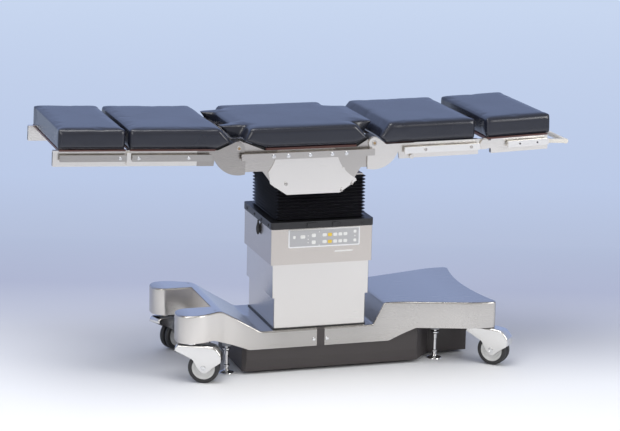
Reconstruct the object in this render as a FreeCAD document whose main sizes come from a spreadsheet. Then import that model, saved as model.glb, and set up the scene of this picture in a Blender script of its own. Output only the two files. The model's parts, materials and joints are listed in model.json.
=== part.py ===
import FreeCAD, Part
import Sketcher
import os
import re

doc = FreeCAD.newDocument("OperatingTable")
sheet = doc.addObject("Spreadsheet::Sheet", "Dims")

# Driving sizes in millimetres and degrees. X runs along the table from the leg end to the head end,
# Y across it, Z up from the floor. Before the last shift X is counted from the middle of the pads.
SIZES = [
    ("table_top", 1006), ("pad_width", 540), ("pad_thick", 78), ("board_thick", 8),
    ("pad_inset", 6), ("over", 1), ("weld", 1),
    ("ext_pad_left", -1000), ("ext_pad_right", -737), ("leg_pad_left", -729),
    ("leg_pad_right", -366), ("leg_nose", 46), ("leg_nose_drop", 51), ("leg_pad_heel", 14),
    ("seat_left", -247), ("seat_right", 182), ("seat_nose_left", 27), ("seat_nose_right", 48),
    ("seat_nose_drop", 50), ("seat_heel_left", 61), ("seat_heel_right", 2),
    ("tongue_half", 185), ("tongue_left", -350), ("tongue_right", 279), ("tongue_slope", 40),
    ("notch_half", 115), ("notch_depth", 50), ("tongue_nose", 13),
    ("back_pad_left", 314), ("back_nose", 43), ("back_nose_drop", 54), ("back_heel", 14),
    ("back_pad_out", 7), ("head_pad_gap", 5), ("head_pad_length", 279),
    ("leg_pivot_x", -297), ("back_pivot_x", 251), ("pivot_drop", 73), ("lobe_radius", 105), ("lobe_keep", 28),
    ("shaft_radius", 9), ("eye_wall", 14), ("pin_head", 1.5), ("running_gap", 0.05), ("plate_thick", 8), ("face_gap", 1),
    ("beam_outer", 268), ("beam_width", 20), ("beam_height", 53), ("beam_wall", 3),
    ("side_plate_inner", 254), ("side_plate_thick", 6), ("cover_thick", 3),
    ("rail_inner", 282), ("rail_thick", 10), ("rail_drop", 117), ("rail_height", 25),
    ("spacer_radius", 8), ("screw_radius", 5), ("screw_head", 2),
    ("leg_beam_left", -730), ("ext_beam_left", -1018), ("ext_beam_right", -722),
    ("leg_plate_left", -462), ("web_drop", 140), ("leg_plate_step", -396),
    ("back_plate_right", 415), ("back_beam_right", 671), ("head_pivot_out", 45), ("head_pivot_drop", 101),
    ("head_beam_short", 17), ("release_out", 66), ("release_radius", 10), ("release_drop", 116),
    ("leg_rest_angle", 2.05), ("back_rest_angle", 0.62), ("head_rest_angle", 1.44),
    ("extension_travel", 150), ("slide_gap", 0.3), ("inner_tube_wall", 3),
    ("column_x", 68), ("lower_cover_half_x", 190), ("lower_cover_half_y", 184),
    ("lower_cover_foot", 178), ("lower_cover_flare", 9), ("lower_cover_top", 500),
    ("cover_wall", 2), ("cover_corner", 5), ("collar_corner", 14),
    ("upper_cover_half_x", 209), ("upper_cover_half_y", 197), ("upper_cover_low", 443),
    ("upper_cover_top", 588), ("collar_half_x", 212), ("collar_half_y", 203), ("collar_top", 616),
    ("bellows_half_x", 187), ("bellows_half_y", 182), ("bellows_depth", 14), ("bellows_count", 13),
    ("bellows_drop", 218), ("bellows_wall", 3), ("bellows_flange", 5),
    ("mast_outer_side", 170), ("mast_slide_gap", 0.6), ("mast_wall", 8),
    ("mast_outer_low", 124), ("mast_outer_top", 430), ("mast_middle_low", 215),
    ("mast_inner_low", 330), ("column_plate_thick", 12),
    ("lift_cylinder_radius", 30), ("lift_bore_radius", 25), ("lift_rod_radius", 16),
    ("lift_cylinder_top", 450),
    ("lift_rod_low", 330), ("tilt_axis_drop", 138), ("tilt_pin_radius", 14), ("cradle_half_y", 62),
    ("lug_half", 24), ("lug_thick", 14), ("cross_half_x", 45),
    ("hanger_thick", 12), ("frame_drop", 101), ("cross_half", 18),
    ("drive_radius", 16), ("drive_y", 232), ("drive_drop", 118),
    ("trapezoid_drop", 265), ("shoulder_drop", 219), ("trapezoid_arc", 155),
    ("trapezoid_left", -136), ("trapezoid_right", 88),
    ("base_left", -530), ("base_right", 791), ("arm_half_out", 278), ("arm_half_in", 150),
    ("fork_root", -370), ("waist_half", 205), ("right_half", 292), ("base_wall", 3),
    ("arm_top", 280), ("arm_low", 169), ("waist_top", 178), ("waist_low", 106),
    ("right_top", 265), ("right_low", 157), ("end_hollow", 41),
    ("skirt_left", -250), ("skirt_right", 731), ("skirt_half", 195), ("skirt_foot_half", 190),
    ("skirt_low", 14), ("skirt_right_low", 60), ("skirt_wall", 4),
    ("rail_tube_width", 36), ("rail_tube_height", 44), ("chassis_y", 173),
    ("caster_left_x", -466), ("caster_left_y", 216), ("caster_right_x", 748), ("caster_right_y", 238),
    ("wheel_radius", 62), ("wheel_width", 22), ("wheel_gap", 8), ("hub_radius", 46),
    ("caster_trail", 51), ("hood_top", 154), ("hood_cheek", 3), ("hood_gap", 1.5),
    ("kingpin_radius", 10), ("kingpin_boss", 22), ("axle_radius", 5),
    ("lock_left_x", -302), ("lock_right_x", 579), ("lock_y", 138), ("lock_rod_radius", 7),
    ("lock_foot_radius", 30), ("lock_foot_thick", 9), ("lock_clear", 0.3),
    ("keypad_left", -50), ("keypad_right", 226), ("keypad_low", 499), ("keypad_top", 574),
    ("keypad_thick", 2.5), ("key_raise", 1),
    ("key_block_left", 60), ("key_pitch", 24), ("key_width", 19), ("key_height", 16),
    ("key_margin", 14), ("key_row_pitch", 31), ("key_round_x", 205), ("key_arrow_x", 20),
    ("arm_shoulder_x", -440), ("waist_left_x", -300), ("waist_right_x", 400),
    ("head_shoulder_x", 700), ("arm_corner_share", 0.41), ("arm_shoulder_run", 32),
    ("waist_left_run", 54), ("waist_right_round", 300), ("head_shoulder_round", 300),
    ("head_corner", 25), ("head_rise_top_x", 333), ("head_rise_foot_x", 289),
    ("arm_slope_foot_x", -180), ("arm_slope_top_x", -350), ("arm_low_x", -387),
    ("waist_low_left_x", -226), ("waist_low_right_x", 357), ("head_low_x", 464),
    ("mast_hole_half", 100), ("skirt_nose", 15), ("skirt_taper_x", 480), ("skirt_neck_x", 560),
    ("skirt_neck_half", 100), ("skirt_turn", 60), ("skirt_top", 156), ("skirt_deep_end", 45),
    ("chassis_right", 745), ("chassis_rise", 4), ("column_plate_half", 110),
    ("cover_seat_leg_x", -120), ("cover_seat_head_x", 255), ("cover_seat_half", 20),
    ("caster_block_half", 20), ("caster_block_low", 173), ("caster_block_top", 228),
    ("lock_guide_low_leg", 112), ("lock_guide_low_head", 122), ("lock_guide_length", 50),
    ("lock_rod_stand", 20), ("hood_back", 62), ("hood_corner", 24), ("hood_well_gap", 4),
    ("caster_angle_leg_near", -23), ("caster_angle_leg_far", 28), ("caster_angle_head_near", -45),
    ("caster_angle_head_far", 45), ("seal_out", 4), ("seal_height", 4), ("collar_lid", 8),
    ("collar_wall", 3), ("collar_clear", 2), ("catch_wide_x", 3), ("catch_small_x", 108),
    ("catch_thick", 4), ("hook_half", 9), ("hook_low", 519), ("cross_bar_radius", 20),
    ("spine_half", 40), ("frame_left_x", -162), ("frame_right_x", 190), ("plate_drop", 168),
    ("plate_shy", 1.5), ("boss_leg_radius", 28), ("boss_back_radius", 25), ("beam_root", 20),
    ("beam_reach", 108), ("flange_stand", 14), ("runner_reach", 165), ("knob_radius", 9),
    ("ear_radius", 22), ("head_pin_radius", 8), ("arm_thick", 10), ("release_pivot_in", 45),
    ("release_pivot_drop", 109),
]
# Sizes that follow the ones above
FOLLOWERS = [
    ("pivot_z", "table_top-pivot_drop"), ("rail_low", "table_top-rail_drop"),
    ("rail_high", "rail_low+rail_height"), ("web_low", "table_top-web_drop"),
    ("bellows_top", "table_top-bellows_drop"), ("tilt_axis_z", "table_top-tilt_axis_drop"),
    ("frame_low", "table_top-frame_drop"), ("drive_z", "table_top-drive_drop"),
    ("trapezoid_low", "table_top-trapezoid_drop"), ("trapezoid_shoulder", "table_top-shoulder_drop"),
    ("plate_low", "table_top-plate_drop"), ("head_pivot_z", "table_top-head_pivot_drop"),
    ("release_z", "table_top-release_drop"), ("release_pivot_z", "table_top-release_pivot_drop"),
    ("back_pad_right", "back_beam_right+back_pad_out"),
    ("head_pivot_x", "back_beam_right+head_pivot_out"), ("head_pad_left", "head_pivot_x+head_pad_gap"),
    ("head_pad_right", "head_pad_left+head_pad_length"),
    ("head_beam_right", "head_pad_right-head_beam_short"), ("release_x", "head_pad_right+release_out"),
    ("release_pivot_x", "head_pad_right-release_pivot_in"),
    ("chassis_left", "caster_left_x-caster_block_half"),
    ("mast_middle_side", "mast_outer_side-2*mast_wall-2*mast_slide_gap"),
    ("mast_inner_side", "mast_middle_side-2*mast_wall-2*mast_slide_gap"),
    ("arm_corner", "(arm_half_out-arm_half_in)*arm_corner_share"),
    ("arm_turn", "atan((arm_half_out-waist_half)/(waist_left_x-arm_shoulder_x))"),
    ("arm_shoulder_round", "arm_shoulder_run/tan(arm_turn/2)"),
    ("waist_left_round", "waist_left_run/tan(arm_turn/2)"),
]
FOLLOWERS = [(alias, "=" + total) for alias, total in FOLLOWERS]
for row, (alias, size) in enumerate(SIZES + FOLLOWERS, start=1):
    sheet.set("A%d" % row, alias)
    sheet.set("B%d" % row, str(size))
    sheet.setAlias("B%d" % row, alias)
doc.recompute()

NAMES = re.compile(r"\b(%s)\b" % "|".join(alias for alias, size in SIZES + FOLLOWERS))


def cell(text):
    """The same sum with each size name pointing at its cell."""
    return NAMES.sub(r"Dims.\1", str(text))


def number(text):
    """The value of a sum of named sizes."""
    return float(sheet.evalExpression(cell(text)))


def bind(thing, **sums):
    for prop, text in sums.items():
        thing.setExpression(prop.replace("_", "."), cell(text))
    return thing


def box(name, x, y, z):
    """A block between two sums on each axis."""
    block = doc.addObject("Part::Box", name)
    bind(block, Length="(%s)-(%s)" % (x[1], x[0]), Width="(%s)-(%s)" % (y[1], y[0]))
    bind(block, Height="(%s)-(%s)" % (z[1], z[0]))
    block.setExpression("Placement.Base.x", cell(x[0]))
    block.setExpression("Placement.Base.y", cell(y[0]))
    block.setExpression("Placement.Base.z", cell(z[0]))
    return block


TURNS = {
    "x": FreeCAD.Rotation(FreeCAD.Vector(0, 1, 0), 90),
    "y": FreeCAD.Rotation(FreeCAD.Vector(1, 0, 0), -90),
    "z": FreeCAD.Rotation(),
}


def rod(name, axis, radius, start, end, at):
    """A round bar along an axis from start to end; at holds its other two places in x, y, z order."""
    bar = doc.addObject("Part::Cylinder", name)
    bind(bar, Radius=radius, Height="(%s)-(%s)" % (end, start))
    places = list(at)
    places.insert("xyz".index(axis), start)
    bar.Placement = FreeCAD.Placement(FreeCAD.Vector(), TURNS[axis])
    for letter, place in zip("xyz", places):
        bar.setExpression("Placement.Base." + letter, cell(place))
    return bar


PLANES = {"xz": "XZ_Plane", "xy": "XY_Plane", "yz": "YZ_Plane"}


def sketch_on(body, name, plane, offset):
    plane_object = [part for part in body.Origin.OriginFeatures if part.Role == PLANES[plane]][0]
    sketch = body.newObject("Sketcher::SketchObject", name)
    sketch.AttachmentSupport = [(plane_object, "")]
    sketch.MapMode = "FlatFace"
    height = "-(%s)" % offset if plane == "xz" else offset
    sketch.setExpression("AttachmentOffset.Base.z", cell(height))
    return sketch


def draw(sketch, points):
    """A closed outline of straight sides through points given as sums."""
    spots = [FreeCAD.Vector(number(u), number(v), 0) for u, v in points]
    count = len(spots)
    for index in range(count):
        sketch.addGeometry(Part.LineSegment(spots[index], spots[(index + 1) % count]))
    for index in range(count):
        sketch.addConstraint(Sketcher.Constraint("Coincident", index, 2, (index + 1) % count, 1))
    for index, (u, v) in enumerate(points):
        for kind, text in (("DistanceX", u), ("DistanceY", v)):
            rule = sketch.addConstraint(Sketcher.Constraint(kind, -1, 1, index, 1, number(text)))
            sketch.setExpression("Constraints[%d]" % rule, cell(text))


def prism(name, plane, low, high, points):
    """A padded outline between two places along the plane's normal."""
    body = doc.addObject("PartDesign::Body", name)
    start = high if plane == "xz" else low
    sketch = sketch_on(body, name + "_outline", plane, start)
    draw(sketch, points)
    pad = body.newObject("PartDesign::Pad", name + "_pad")
    pad.Profile = sketch
    bind(pad, Length="(%s)-(%s)" % (high, low))
    body.Tip = pad
    return body


def round_edges(body, radius, chosen):
    """Fillets the edges that chosen accepts on the body's present solid."""
    doc.recompute()
    base = body.Tip
    edges = ["Edge%d" % (index + 1) for index, edge in enumerate(base.Shape.Edges) if chosen(edge)]
    fillet = body.newObject("PartDesign::Fillet", "%s_round%d" % (body.Name, len(body.Group)))
    fillet.Base = (base, edges)
    bind(fillet, Radius=radius)
    body.Tip = fillet
    return body


def upright_at(x, y):
    """Accepts upright edges that stand at one place on plan."""
    def chosen(edge):
        middle = edge.CenterOfMass
        near = abs(middle.x - number(x)) < 0.5 and abs(abs(middle.y) - number(y)) < 0.5
        return near and edge.BoundBox.XLength < 0.01 and edge.BoundBox.ZLength > 1
    return chosen


def cut(name, base, tool):
    result = doc.addObject("Part::Cut", name)
    result.Base = base
    result.Tool = tool
    return result


def fuse(name, *shapes):
    result = doc.addObject("Part::MultiFuse", name)
    result.Shapes = list(shapes)
    return result


def common(name, *shapes):
    result = doc.addObject("Part::MultiCommon", name)
    result.Shapes = list(shapes)
    return result


def group(name, *shapes):
    result = doc.addObject("Part::Compound", name)
    result.Links = list(shapes)
    return result


def mirrored(source):
    """The same solid on the other side of the table."""
    twin = doc.addObject("Part::Mirroring", source.Name + "_far")
    twin.Source = source
    twin.Normal = FreeCAD.Vector(0, 1, 0)
    return twin


def both(name, *shapes):
    twins = []
    for shape in shapes:
        twins += [shape, mirrored(shape)]
    return group(name, *twins)


def moved(name, source, offset, turn=0.0, about=(0, 0, 0)):
    """A copy of a solid turned about an upright line and then carried to another place."""
    copy = doc.addObject("Part::Compound", name)
    copy.Links = [source]
    spin = FreeCAD.Rotation(FreeCAD.Vector(0, 0, 1), turn)
    copy.Placement = FreeCAD.Placement(FreeCAD.Vector(*offset), spin, FreeCAD.Vector(*about))
    return copy


NODES = []


def node(label, solid, pose="still"):
    """Marks a finished sub-part and the section whose rest angle it takes."""
    if solid.ExpressionEngine:
        solid.Label = label + "_solid"
        solid = group(label + "_part", solid)
    solid.Label = label
    NODES.append((label, solid, pose))
    return solid


# Heights shared by all sections
BOARD_TOP = "table_top-pad_thick"
BOARD_LOW = "table_top-pad_thick-board_thick"
BEAM_LOW = "table_top-pad_thick-board_thick-beam_height"
PAD_HALF = "pad_width/2"
BEAM_IN = "beam_outer-beam_width"
HINGE_IN = "side_plate_inner+side_plate_thick+face_gap"
HINGE_OUT = "side_plate_inner+side_plate_thick+face_gap+plate_thick"


def base_plan(inset):
    """Half outline on plan from the fork round to the head end, drawn in by a wall."""
    left, right = "base_left+%s" % inset, "base_right-%s" % inset
    half = [
        ("fork_root+%s" % inset, "arm_half_in+%s" % inset),
        (left, "arm_half_in+%s" % inset),
        (left, "arm_half_out-%s" % inset),
        ("arm_shoulder_x", "arm_half_out-%s" % inset),
        ("waist_left_x", "waist_half-%s" % inset),
        ("waist_right_x", "waist_half-%s" % inset),
        ("head_shoulder_x", "right_half-%s" % inset),
        (right, "right_half-%s" % inset),
    ]
    return half + [(x, "-(%s)" % y) for x, y in reversed(half)]


def base_side(inset, open_below):
    """Side outline with the raised arms, the low waist and the head plateau."""
    top = [
        ("base_right+over", "right_top-%s" % inset), ("head_rise_top_x", "right_top-%s" % inset),
        ("head_rise_foot_x", "waist_top-%s" % inset), ("arm_slope_foot_x", "waist_top-%s" % inset),
        ("arm_slope_top_x", "arm_top-%s" % inset), ("base_left-over", "arm_top-%s" % inset),
    ]
    if open_below:
        return [("base_left-over", "0"), ("base_right+over", "0")] + top
    low = [
        ("base_left-over", "arm_low"), ("arm_low_x", "arm_low"), ("waist_low_left_x", "waist_low"),
        ("waist_low_right_x", "waist_low"), ("head_low_x", "right_low"), ("base_right+over", "right_low"),
    ]
    return low + top


def base_block(name, inset, open_below):
    """One solid bounded by the plan, the side outline and the hollow head end."""
    plan = prism(name + "_plan", "xy", "0", "arm_top+over", base_plan(inset))
    corners = [
        ("arm_corner", "base_left+%s" % inset, "arm_half_out-%s" % inset),
        ("arm_corner", "base_left+%s" % inset, "arm_half_in+%s" % inset),
        ("arm_shoulder_round", "arm_shoulder_x", "arm_half_out-%s" % inset),
        ("waist_left_round", "waist_left_x", "waist_half-%s" % inset),
        ("waist_right_round", "waist_right_x", "waist_half-%s" % inset),
        ("head_shoulder_round", "head_shoulder_x", "right_half-%s" % inset),
        ("head_corner", "base_right-%s" % inset, "right_half-%s" % inset),
    ]
    for radius, x, y in corners:
        round_edges(plan, radius, upright_at(x, y))
    side = prism(name + "_side", "xz", "-right_half-over", "right_half+over", base_side(inset, open_below))
    radius = "(right_half*right_half+end_hollow*end_hollow)/(2*end_hollow)+%s" % inset
    bite = rod(name + "_bite", "z", radius, "-over", "arm_top+2*over",
               ("base_right-end_hollow+(right_half*right_half+end_hollow*end_hollow)/(2*end_hollow)", "0"))
    return cut(name, common(name + "_form", plan, side), bite)


def make_base_cover():
    """Folded steel cover, open underneath, with a hole for the mast."""
    outer = base_block("base_outer", "0", False)
    inner = base_block("base_inner", "base_wall", True)
    hole = box("base_mast_hole", ("column_x-mast_hole_half", "column_x+mast_hole_half"),
               ("-mast_hole_half", "mast_hole_half"), ("waist_low", "waist_top+1"))
    node("base_cover", cut("base_cover", cut("base_shell", outer, inner), hole))


def skirt_plan(inset):
    half = [
        ("skirt_left+%s" % inset, "skirt_half-skirt_nose-%s" % inset),
        ("skirt_left+skirt_nose+%s" % inset, "skirt_half-%s" % inset),
        ("skirt_taper_x", "skirt_half-%s" % inset),
        ("skirt_neck_x", "skirt_neck_half-%s" % inset),
        ("skirt_right-%s" % inset, "skirt_neck_half-%s" % inset),
    ]
    return half + [(x, "-(%s)" % y) for x, y in reversed(half)]


def make_skirt():
    """Dark pan that closes the underside, its foot narrower than its top."""
    section = [
        ("-skirt_foot_half", "skirt_low"), ("skirt_foot_half", "skirt_low"), ("skirt_half", "skirt_turn"),
        ("skirt_half", "skirt_top"), ("-skirt_half", "skirt_top"), ("-skirt_half", "skirt_turn"),
    ]
    plan = prism("skirt_plan", "xy", "skirt_low", "skirt_top", skirt_plan("0"))
    body = common("skirt_form", plan, prism("skirt_section", "yz", "skirt_left", "skirt_right", section))
    hollow = prism("skirt_hollow", "xy", "skirt_turn", "skirt_top+1", skirt_plan("skirt_wall"))
    floor = box("skirt_deep", ("skirt_left+skirt_deep_end", "skirt_taper_x-skirt_deep_end"),
                ("-skirt_foot_half+skirt_wall", "skirt_foot_half-skirt_wall"),
                ("skirt_low+skirt_wall", "skirt_turn+1"))
    passage = box("skirt_passage", ("skirt_left-over", "skirt_left+skirt_nose+2*skirt_wall"),
                  ("chassis_y-rail_tube_width/2-face_gap", "chassis_y+rail_tube_width/2"),
                  ("waist_low+chassis_rise-face_gap", "skirt_top+over"))
    node("base_skirt", cut("base_skirt", body, fuse("skirt_inside", hollow, floor, passage,
                                                    mirrored(passage))))


CASTERS = [
    ("leg_near", "caster_left_x", "-caster_left_y", "caster_angle_leg_near"),
    ("leg_far", "caster_left_x", "caster_left_y", "caster_angle_leg_far"),
    ("head_near", "caster_right_x", "-caster_right_y", "caster_angle_head_near"),
    ("head_far", "caster_right_x", "caster_right_y", "caster_angle_head_far"),
]
LOCK_SPOTS = [("leg", "lock_left_x"), ("head", "lock_right_x")]


def make_chassis():
    """Welded frame: two cranked side tubes, the column plate, caster blocks and rod guides."""
    low = [
        ("chassis_left", "arm_low+chassis_rise"), ("arm_low_x", "arm_low+chassis_rise"),
        ("waist_low_left_x", "waist_low+chassis_rise"), ("waist_low_right_x", "waist_low+chassis_rise"),
        ("head_low_x", "right_low+chassis_rise"), ("chassis_right", "right_low+chassis_rise"),
    ]
    high = [(x, z + "+rail_tube_height") for x, z in reversed(low)]
    tube_in, tube_out = "chassis_y-rail_tube_width/2", "chassis_y+rail_tube_width/2"
    tube = prism("chassis_tube", "xz", tube_in, tube_out, low + high)
    parts = [tube, mirrored(tube)]
    parts.append(box("chassis_plate", ("column_x-column_plate_half", "column_x+column_plate_half"),
                     ("-chassis_y", "chassis_y"),
                     ("mast_outer_low-column_plate_thick", "mast_outer_low")))
    for label, spot in (("leg", "cover_seat_leg_x"), ("head", "cover_seat_head_x")):
        seat = box("chassis_seat_" + label, (spot + "-cover_seat_half", spot + "+cover_seat_half"),
                   (tube_in, tube_out), ("waist_low+chassis_rise", "waist_top-base_wall"))
        parts += [seat, mirrored(seat)]
    for label, x, y, angle in CASTERS:
        near = y.startswith("-")
        ends = (y, "-(%s)" % tube_in) if near else (tube_in, y)
        link = box("chassis_link_" + label, (x + "-caster_block_half", x), ends,
                   ("caster_block_low", "caster_block_top"))
        boss = box("chassis_boss_" + label, (x + "-caster_block_half", x + "+caster_block_half"),
                   (y + "-caster_block_half", y + "+caster_block_half"),
                   ("caster_block_low", "caster_block_top"))
        block = fuse("chassis_block_" + label, link, boss)
        hole = rod("chassis_bore_" + label, "z", "kingpin_radius+running_gap", "caster_block_low-1",
                   "caster_block_top+1", (x, y))
        parts.append(cut("chassis_corner_" + label, block, hole))
    for label, x in LOCK_SPOTS:
        low_end = "lock_guide_low_%s" % label
        sleeve = rod("chassis_sleeve_" + label, "z", "chassis_y-rail_tube_width/2-lock_y+0.5", low_end,
                     low_end + "+lock_guide_length", (x, "lock_y"))
        bore = rod("chassis_sleeve_bore_" + label, "z", "lock_rod_radius+lock_clear",
                   low_end + "-1", low_end + "+lock_guide_length+1", (x, "lock_y"))
        guide = cut("chassis_guide_" + label, sleeve, bore)
        parts += [guide, mirrored(guide)]
    node("chassis_frame", fuse("chassis_frame", *parts))


def make_floor_locks():
    """Four feet on rods that drop to the floor and lift the wheels' load."""
    feet = []
    for label, x in LOCK_SPOTS:
        foot = doc.addObject("Part::Cone", "lock_pad_" + label)
        bind(foot, Radius1="lock_foot_radius", Radius2="lock_rod_radius+3", Height="lock_foot_thick")
        bind(foot, Placement_Base_x=x, Placement_Base_y="lock_y")
        stem = rod("lock_rod_" + label, "z", "lock_rod_radius", "lock_foot_thick/2",
                   "lock_guide_low_%s+lock_guide_length+lock_rod_stand" % label, (x, "lock_y"))
        nut = rod("lock_nut_" + label, "z", "lock_rod_radius+5", "lock_foot_thick", "lock_foot_thick+8",
                  (x, "lock_y"))
        feet.append(fuse("lock_foot_" + label, foot, stem, nut))
    node("floor_lock_feet", both("floor_lock_feet", *feet))


def make_casters():
    """Four alike casters: a pressed hood with its kingpin and axle, two hubs and two tyres."""
    outline = [
        ("-hood_back", "hood_top"), ("-hood_back", "hood_top-24"), ("-hood_back+34", "hood_top-42"),
        ("8", "hood_top-60"), ("caster_trail-20", "wheel_radius-5"), ("caster_trail-6", "wheel_radius-17"),
        ("caster_trail+10", "wheel_radius-16"), ("caster_trail+26", "wheel_radius-4"),
        ("caster_trail+48", "wheel_radius+14"), ("caster_trail+70", "wheel_radius+27"),
        ("caster_trail+68", "wheel_radius+52"), ("caster_trail+56", "wheel_radius+74"),
        ("caster_trail+36", "hood_top-6"), ("caster_trail+8", "hood_top"),
    ]
    hood_half = "wheel_gap/2+wheel_width+hood_gap+hood_cheek"
    shell = prism("hood_form", "xz", "-(%s)" % hood_half, hood_half, outline)
    round_edges(shell, "hood_corner", upright_at("-hood_back", hood_half))
    well = rod("hood_well", "y", "wheel_radius+hood_well_gap", "-(%s)+hood_cheek" % hood_half,
               "%s-hood_cheek" % hood_half, ("caster_trail", "wheel_radius"))
    pin = rod("hood_kingpin", "z", "kingpin_radius", "hood_top-5", "caster_block_top-4", ("0", "0"))
    collar = rod("hood_collar", "z", "kingpin_boss", "hood_top-1", "caster_block_low-0.3", ("0", "0"))
    axle = rod("hood_axle", "y", "axle_radius", "-(%s)+1" % hood_half, "%s-1" % hood_half,
               ("caster_trail", "wheel_radius"))
    web = box("hood_web", ("-kingpin_boss", "caster_trail"), ("-wheel_gap/2+1", "wheel_gap/2-1"),
              ("wheel_radius-axle_radius-3", "hood_top-10"))
    hood = fuse("hood", cut("hood_shell", shell, well), pin, collar, axle, web)
    tyre_parts, hub_parts = [], []
    for side, start in (("in", "wheel_gap/2"), ("out", "-wheel_gap/2-wheel_width")):
        end = start + "+wheel_width"
        tread = rod("tread_" + side, "y", "wheel_radius", start, end, ("caster_trail", "wheel_radius"))
        bore = rod("tyre_bore_" + side, "y", "hub_radius", start + "-1", end + "+1",
                   ("caster_trail", "wheel_radius"))
        tyre_parts.append(cut("tyre_" + side, tread, bore))
        disc = rod("hub_disc_" + side, "y", "hub_radius", start + "+1", end + "-1",
                   ("caster_trail", "wheel_radius"))
        eye = rod("hub_eye_" + side, "y", "axle_radius+running_gap", start + "-1", end + "+1",
                  ("caster_trail", "wheel_radius"))
        hub_parts.append(cut("hub_" + side, disc, eye))
    tyres, hubs = group("tyres", *tyre_parts), group("hubs", *hub_parts)
    for label, x, y, angle in CASTERS:
        for kind, source in (("hood", hood), ("tyres", tyres), ("hubs", hubs)):
            name = "caster_%s_%s" % (label, kind)
            copy = moved(name, source, (0, 0, 0), number(angle))
            bind(copy, Placement_Base_x=x, Placement_Base_y=y)
            node(name, copy)


def tube(name, half_x, half_y, low, high, wall, corner):
    """An upright four-sided tube with rounded corners, centred on the column."""
    bodies = []
    for kind, inset in (("out", "0"), ("in", wall)):
        x = "(%s)-(%s)" % (half_x, inset)
        y = "(%s)-(%s)" % (half_y, inset)
        points = [
            ("column_x-(%s)" % x, "-(%s)" % y), ("column_x+(%s)" % x, "-(%s)" % y),
            ("column_x+(%s)" % x, y), ("column_x-(%s)" % x, y),
        ]
        reach = "0" if kind == "out" else "1"
        solid = prism("%s_%s" % (name, kind), "xy", "%s-%s" % (low, reach), "%s+%s" % (high, reach), points)
        if corner:
            radius = corner if kind == "out" else "%s-%s" % (corner, wall)
            round_edges(solid, radius, lambda edge: edge.BoundBox.ZLength > 1)
        bodies.append(solid)
    return cut(name, bodies[0], bodies[1])


def make_column_foot():
    """What stands on the chassis: seal, lower cover, outer mast and the lift's cylinder."""
    node("column_seal", tube("column_seal", "lower_cover_half_x+seal_out", "lower_cover_half_y+seal_out",
                             "waist_top", "waist_top+seal_height", "seal_out", "cover_corner+seal_out"))
    node("column_lower_cover", tube("column_lower_cover", "lower_cover_half_x", "lower_cover_half_y",
                                    "waist_top", "lower_cover_top", "cover_wall", "cover_corner"))
    node("mast_outer", tube("mast_outer", "mast_outer_side/2", "mast_outer_side/2", "mast_outer_low",
                            "mast_outer_top", "mast_wall", None))
    barrel = rod("cylinder_barrel", "z", "lift_cylinder_radius", "mast_outer_low", "lift_cylinder_top",
                 ("column_x", "0"))
    bore = rod("cylinder_bore", "z", "lift_bore_radius", "mast_outer_low+column_plate_thick",
               "lift_cylinder_top+1", ("column_x", "0"))
    node("lift_cylinder", cut("lift_cylinder", barrel, bore))


def make_carriage():
    """The middle stage of the lift with its cover, collar, bellows and keypad."""
    node("mast_middle", tube("mast_middle", "mast_middle_side/2", "mast_middle_side/2",
                             "mast_middle_low", "collar_top-collar_lid", "mast_wall", None))
    node("column_upper_cover", tube("column_upper_cover", "upper_cover_half_x", "upper_cover_half_y",
                                    "upper_cover_low", "upper_cover_top", "cover_wall", "cover_corner"))
    skirt = tube("collar_skirt", "collar_half_x", "collar_half_y", "upper_cover_top",
                 "collar_top-collar_lid", "collar_wall", "collar_corner")
    lid_block = prism("collar_lid_block", "xy", "collar_top-collar_lid", "collar_top", [
        ("column_x-collar_half_x", "-collar_half_y"), ("column_x+collar_half_x", "-collar_half_y"),
        ("column_x+collar_half_x", "collar_half_y"), ("column_x-collar_half_x", "collar_half_y")])
    round_edges(lid_block, "collar_corner", lambda edge: edge.BoundBox.ZLength > 1)
    opening = "mast_inner_side/2+collar_clear"
    hole = box("collar_hole", ("column_x-(%s)" % opening, "column_x+%s" % opening),
               ("-(%s)" % opening, opening), ("collar_top-collar_lid-1", "collar_top+1"))
    catches = []
    for label, start, end in (("wide", "catch_wide_x", "catch_wide_x+40"),
                              ("small", "catch_small_x", "catch_small_x+16")):
        catches.append(box("collar_catch_" + label, (start, end),
                           ("-collar_half_y-catch_thick", "-collar_half_y+1"),
                           ("upper_cover_top+5", "collar_top-7")))
    node("column_collar", fuse("column_collar", skirt, cut("collar_lid_plate", lid_block, hole), *catches))
    make_bellows()
    make_keypad()
    hook = prism("collar_hook", "xz", "-hook_half-6", "hook_half-6", [
        ("column_x-upper_cover_half_x", "hook_low+53"), ("column_x-upper_cover_half_x-7", "hook_low+51"),
        ("column_x-upper_cover_half_x-12", "hook_low+30"), ("column_x-upper_cover_half_x-15", "hook_low+10"),
        ("column_x-upper_cover_half_x-10", "hook_low"), ("column_x-upper_cover_half_x-4", "hook_low+6"),
        ("column_x-upper_cover_half_x-6", "hook_low+26"), ("column_x-upper_cover_half_x", "hook_low+34")])
    node("collar_hook", hook)


def zigzag(name, plane, half, centre):
    """A pleated block: its two sides step in and out once for each pleat."""
    pitch = "(bellows_top-collar_top)/bellows_count"
    rising = []
    count = int(number("bellows_count"))
    for index in range(count):
        level = "collar_top+%s*%d" % (pitch, index)
        rising.append(("%s-bellows_depth" % half, level))
        rising.append((half, level + "+%s/2" % pitch))
    rising.append(("%s-bellows_depth" % half, "bellows_top"))
    right = [("%s+(%s)" % (centre, out), z) for out, z in rising]
    left = [("%s-(%s)" % (centre, out), z) for out, z in reversed(rising)]
    low, high = ("-bellows_half_y", "bellows_half_y")
    if plane == "yz":
        low, high = ("column_x-bellows_half_x", "column_x+bellows_half_x")
    return prism(name, plane, low, high, right + left)


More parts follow.
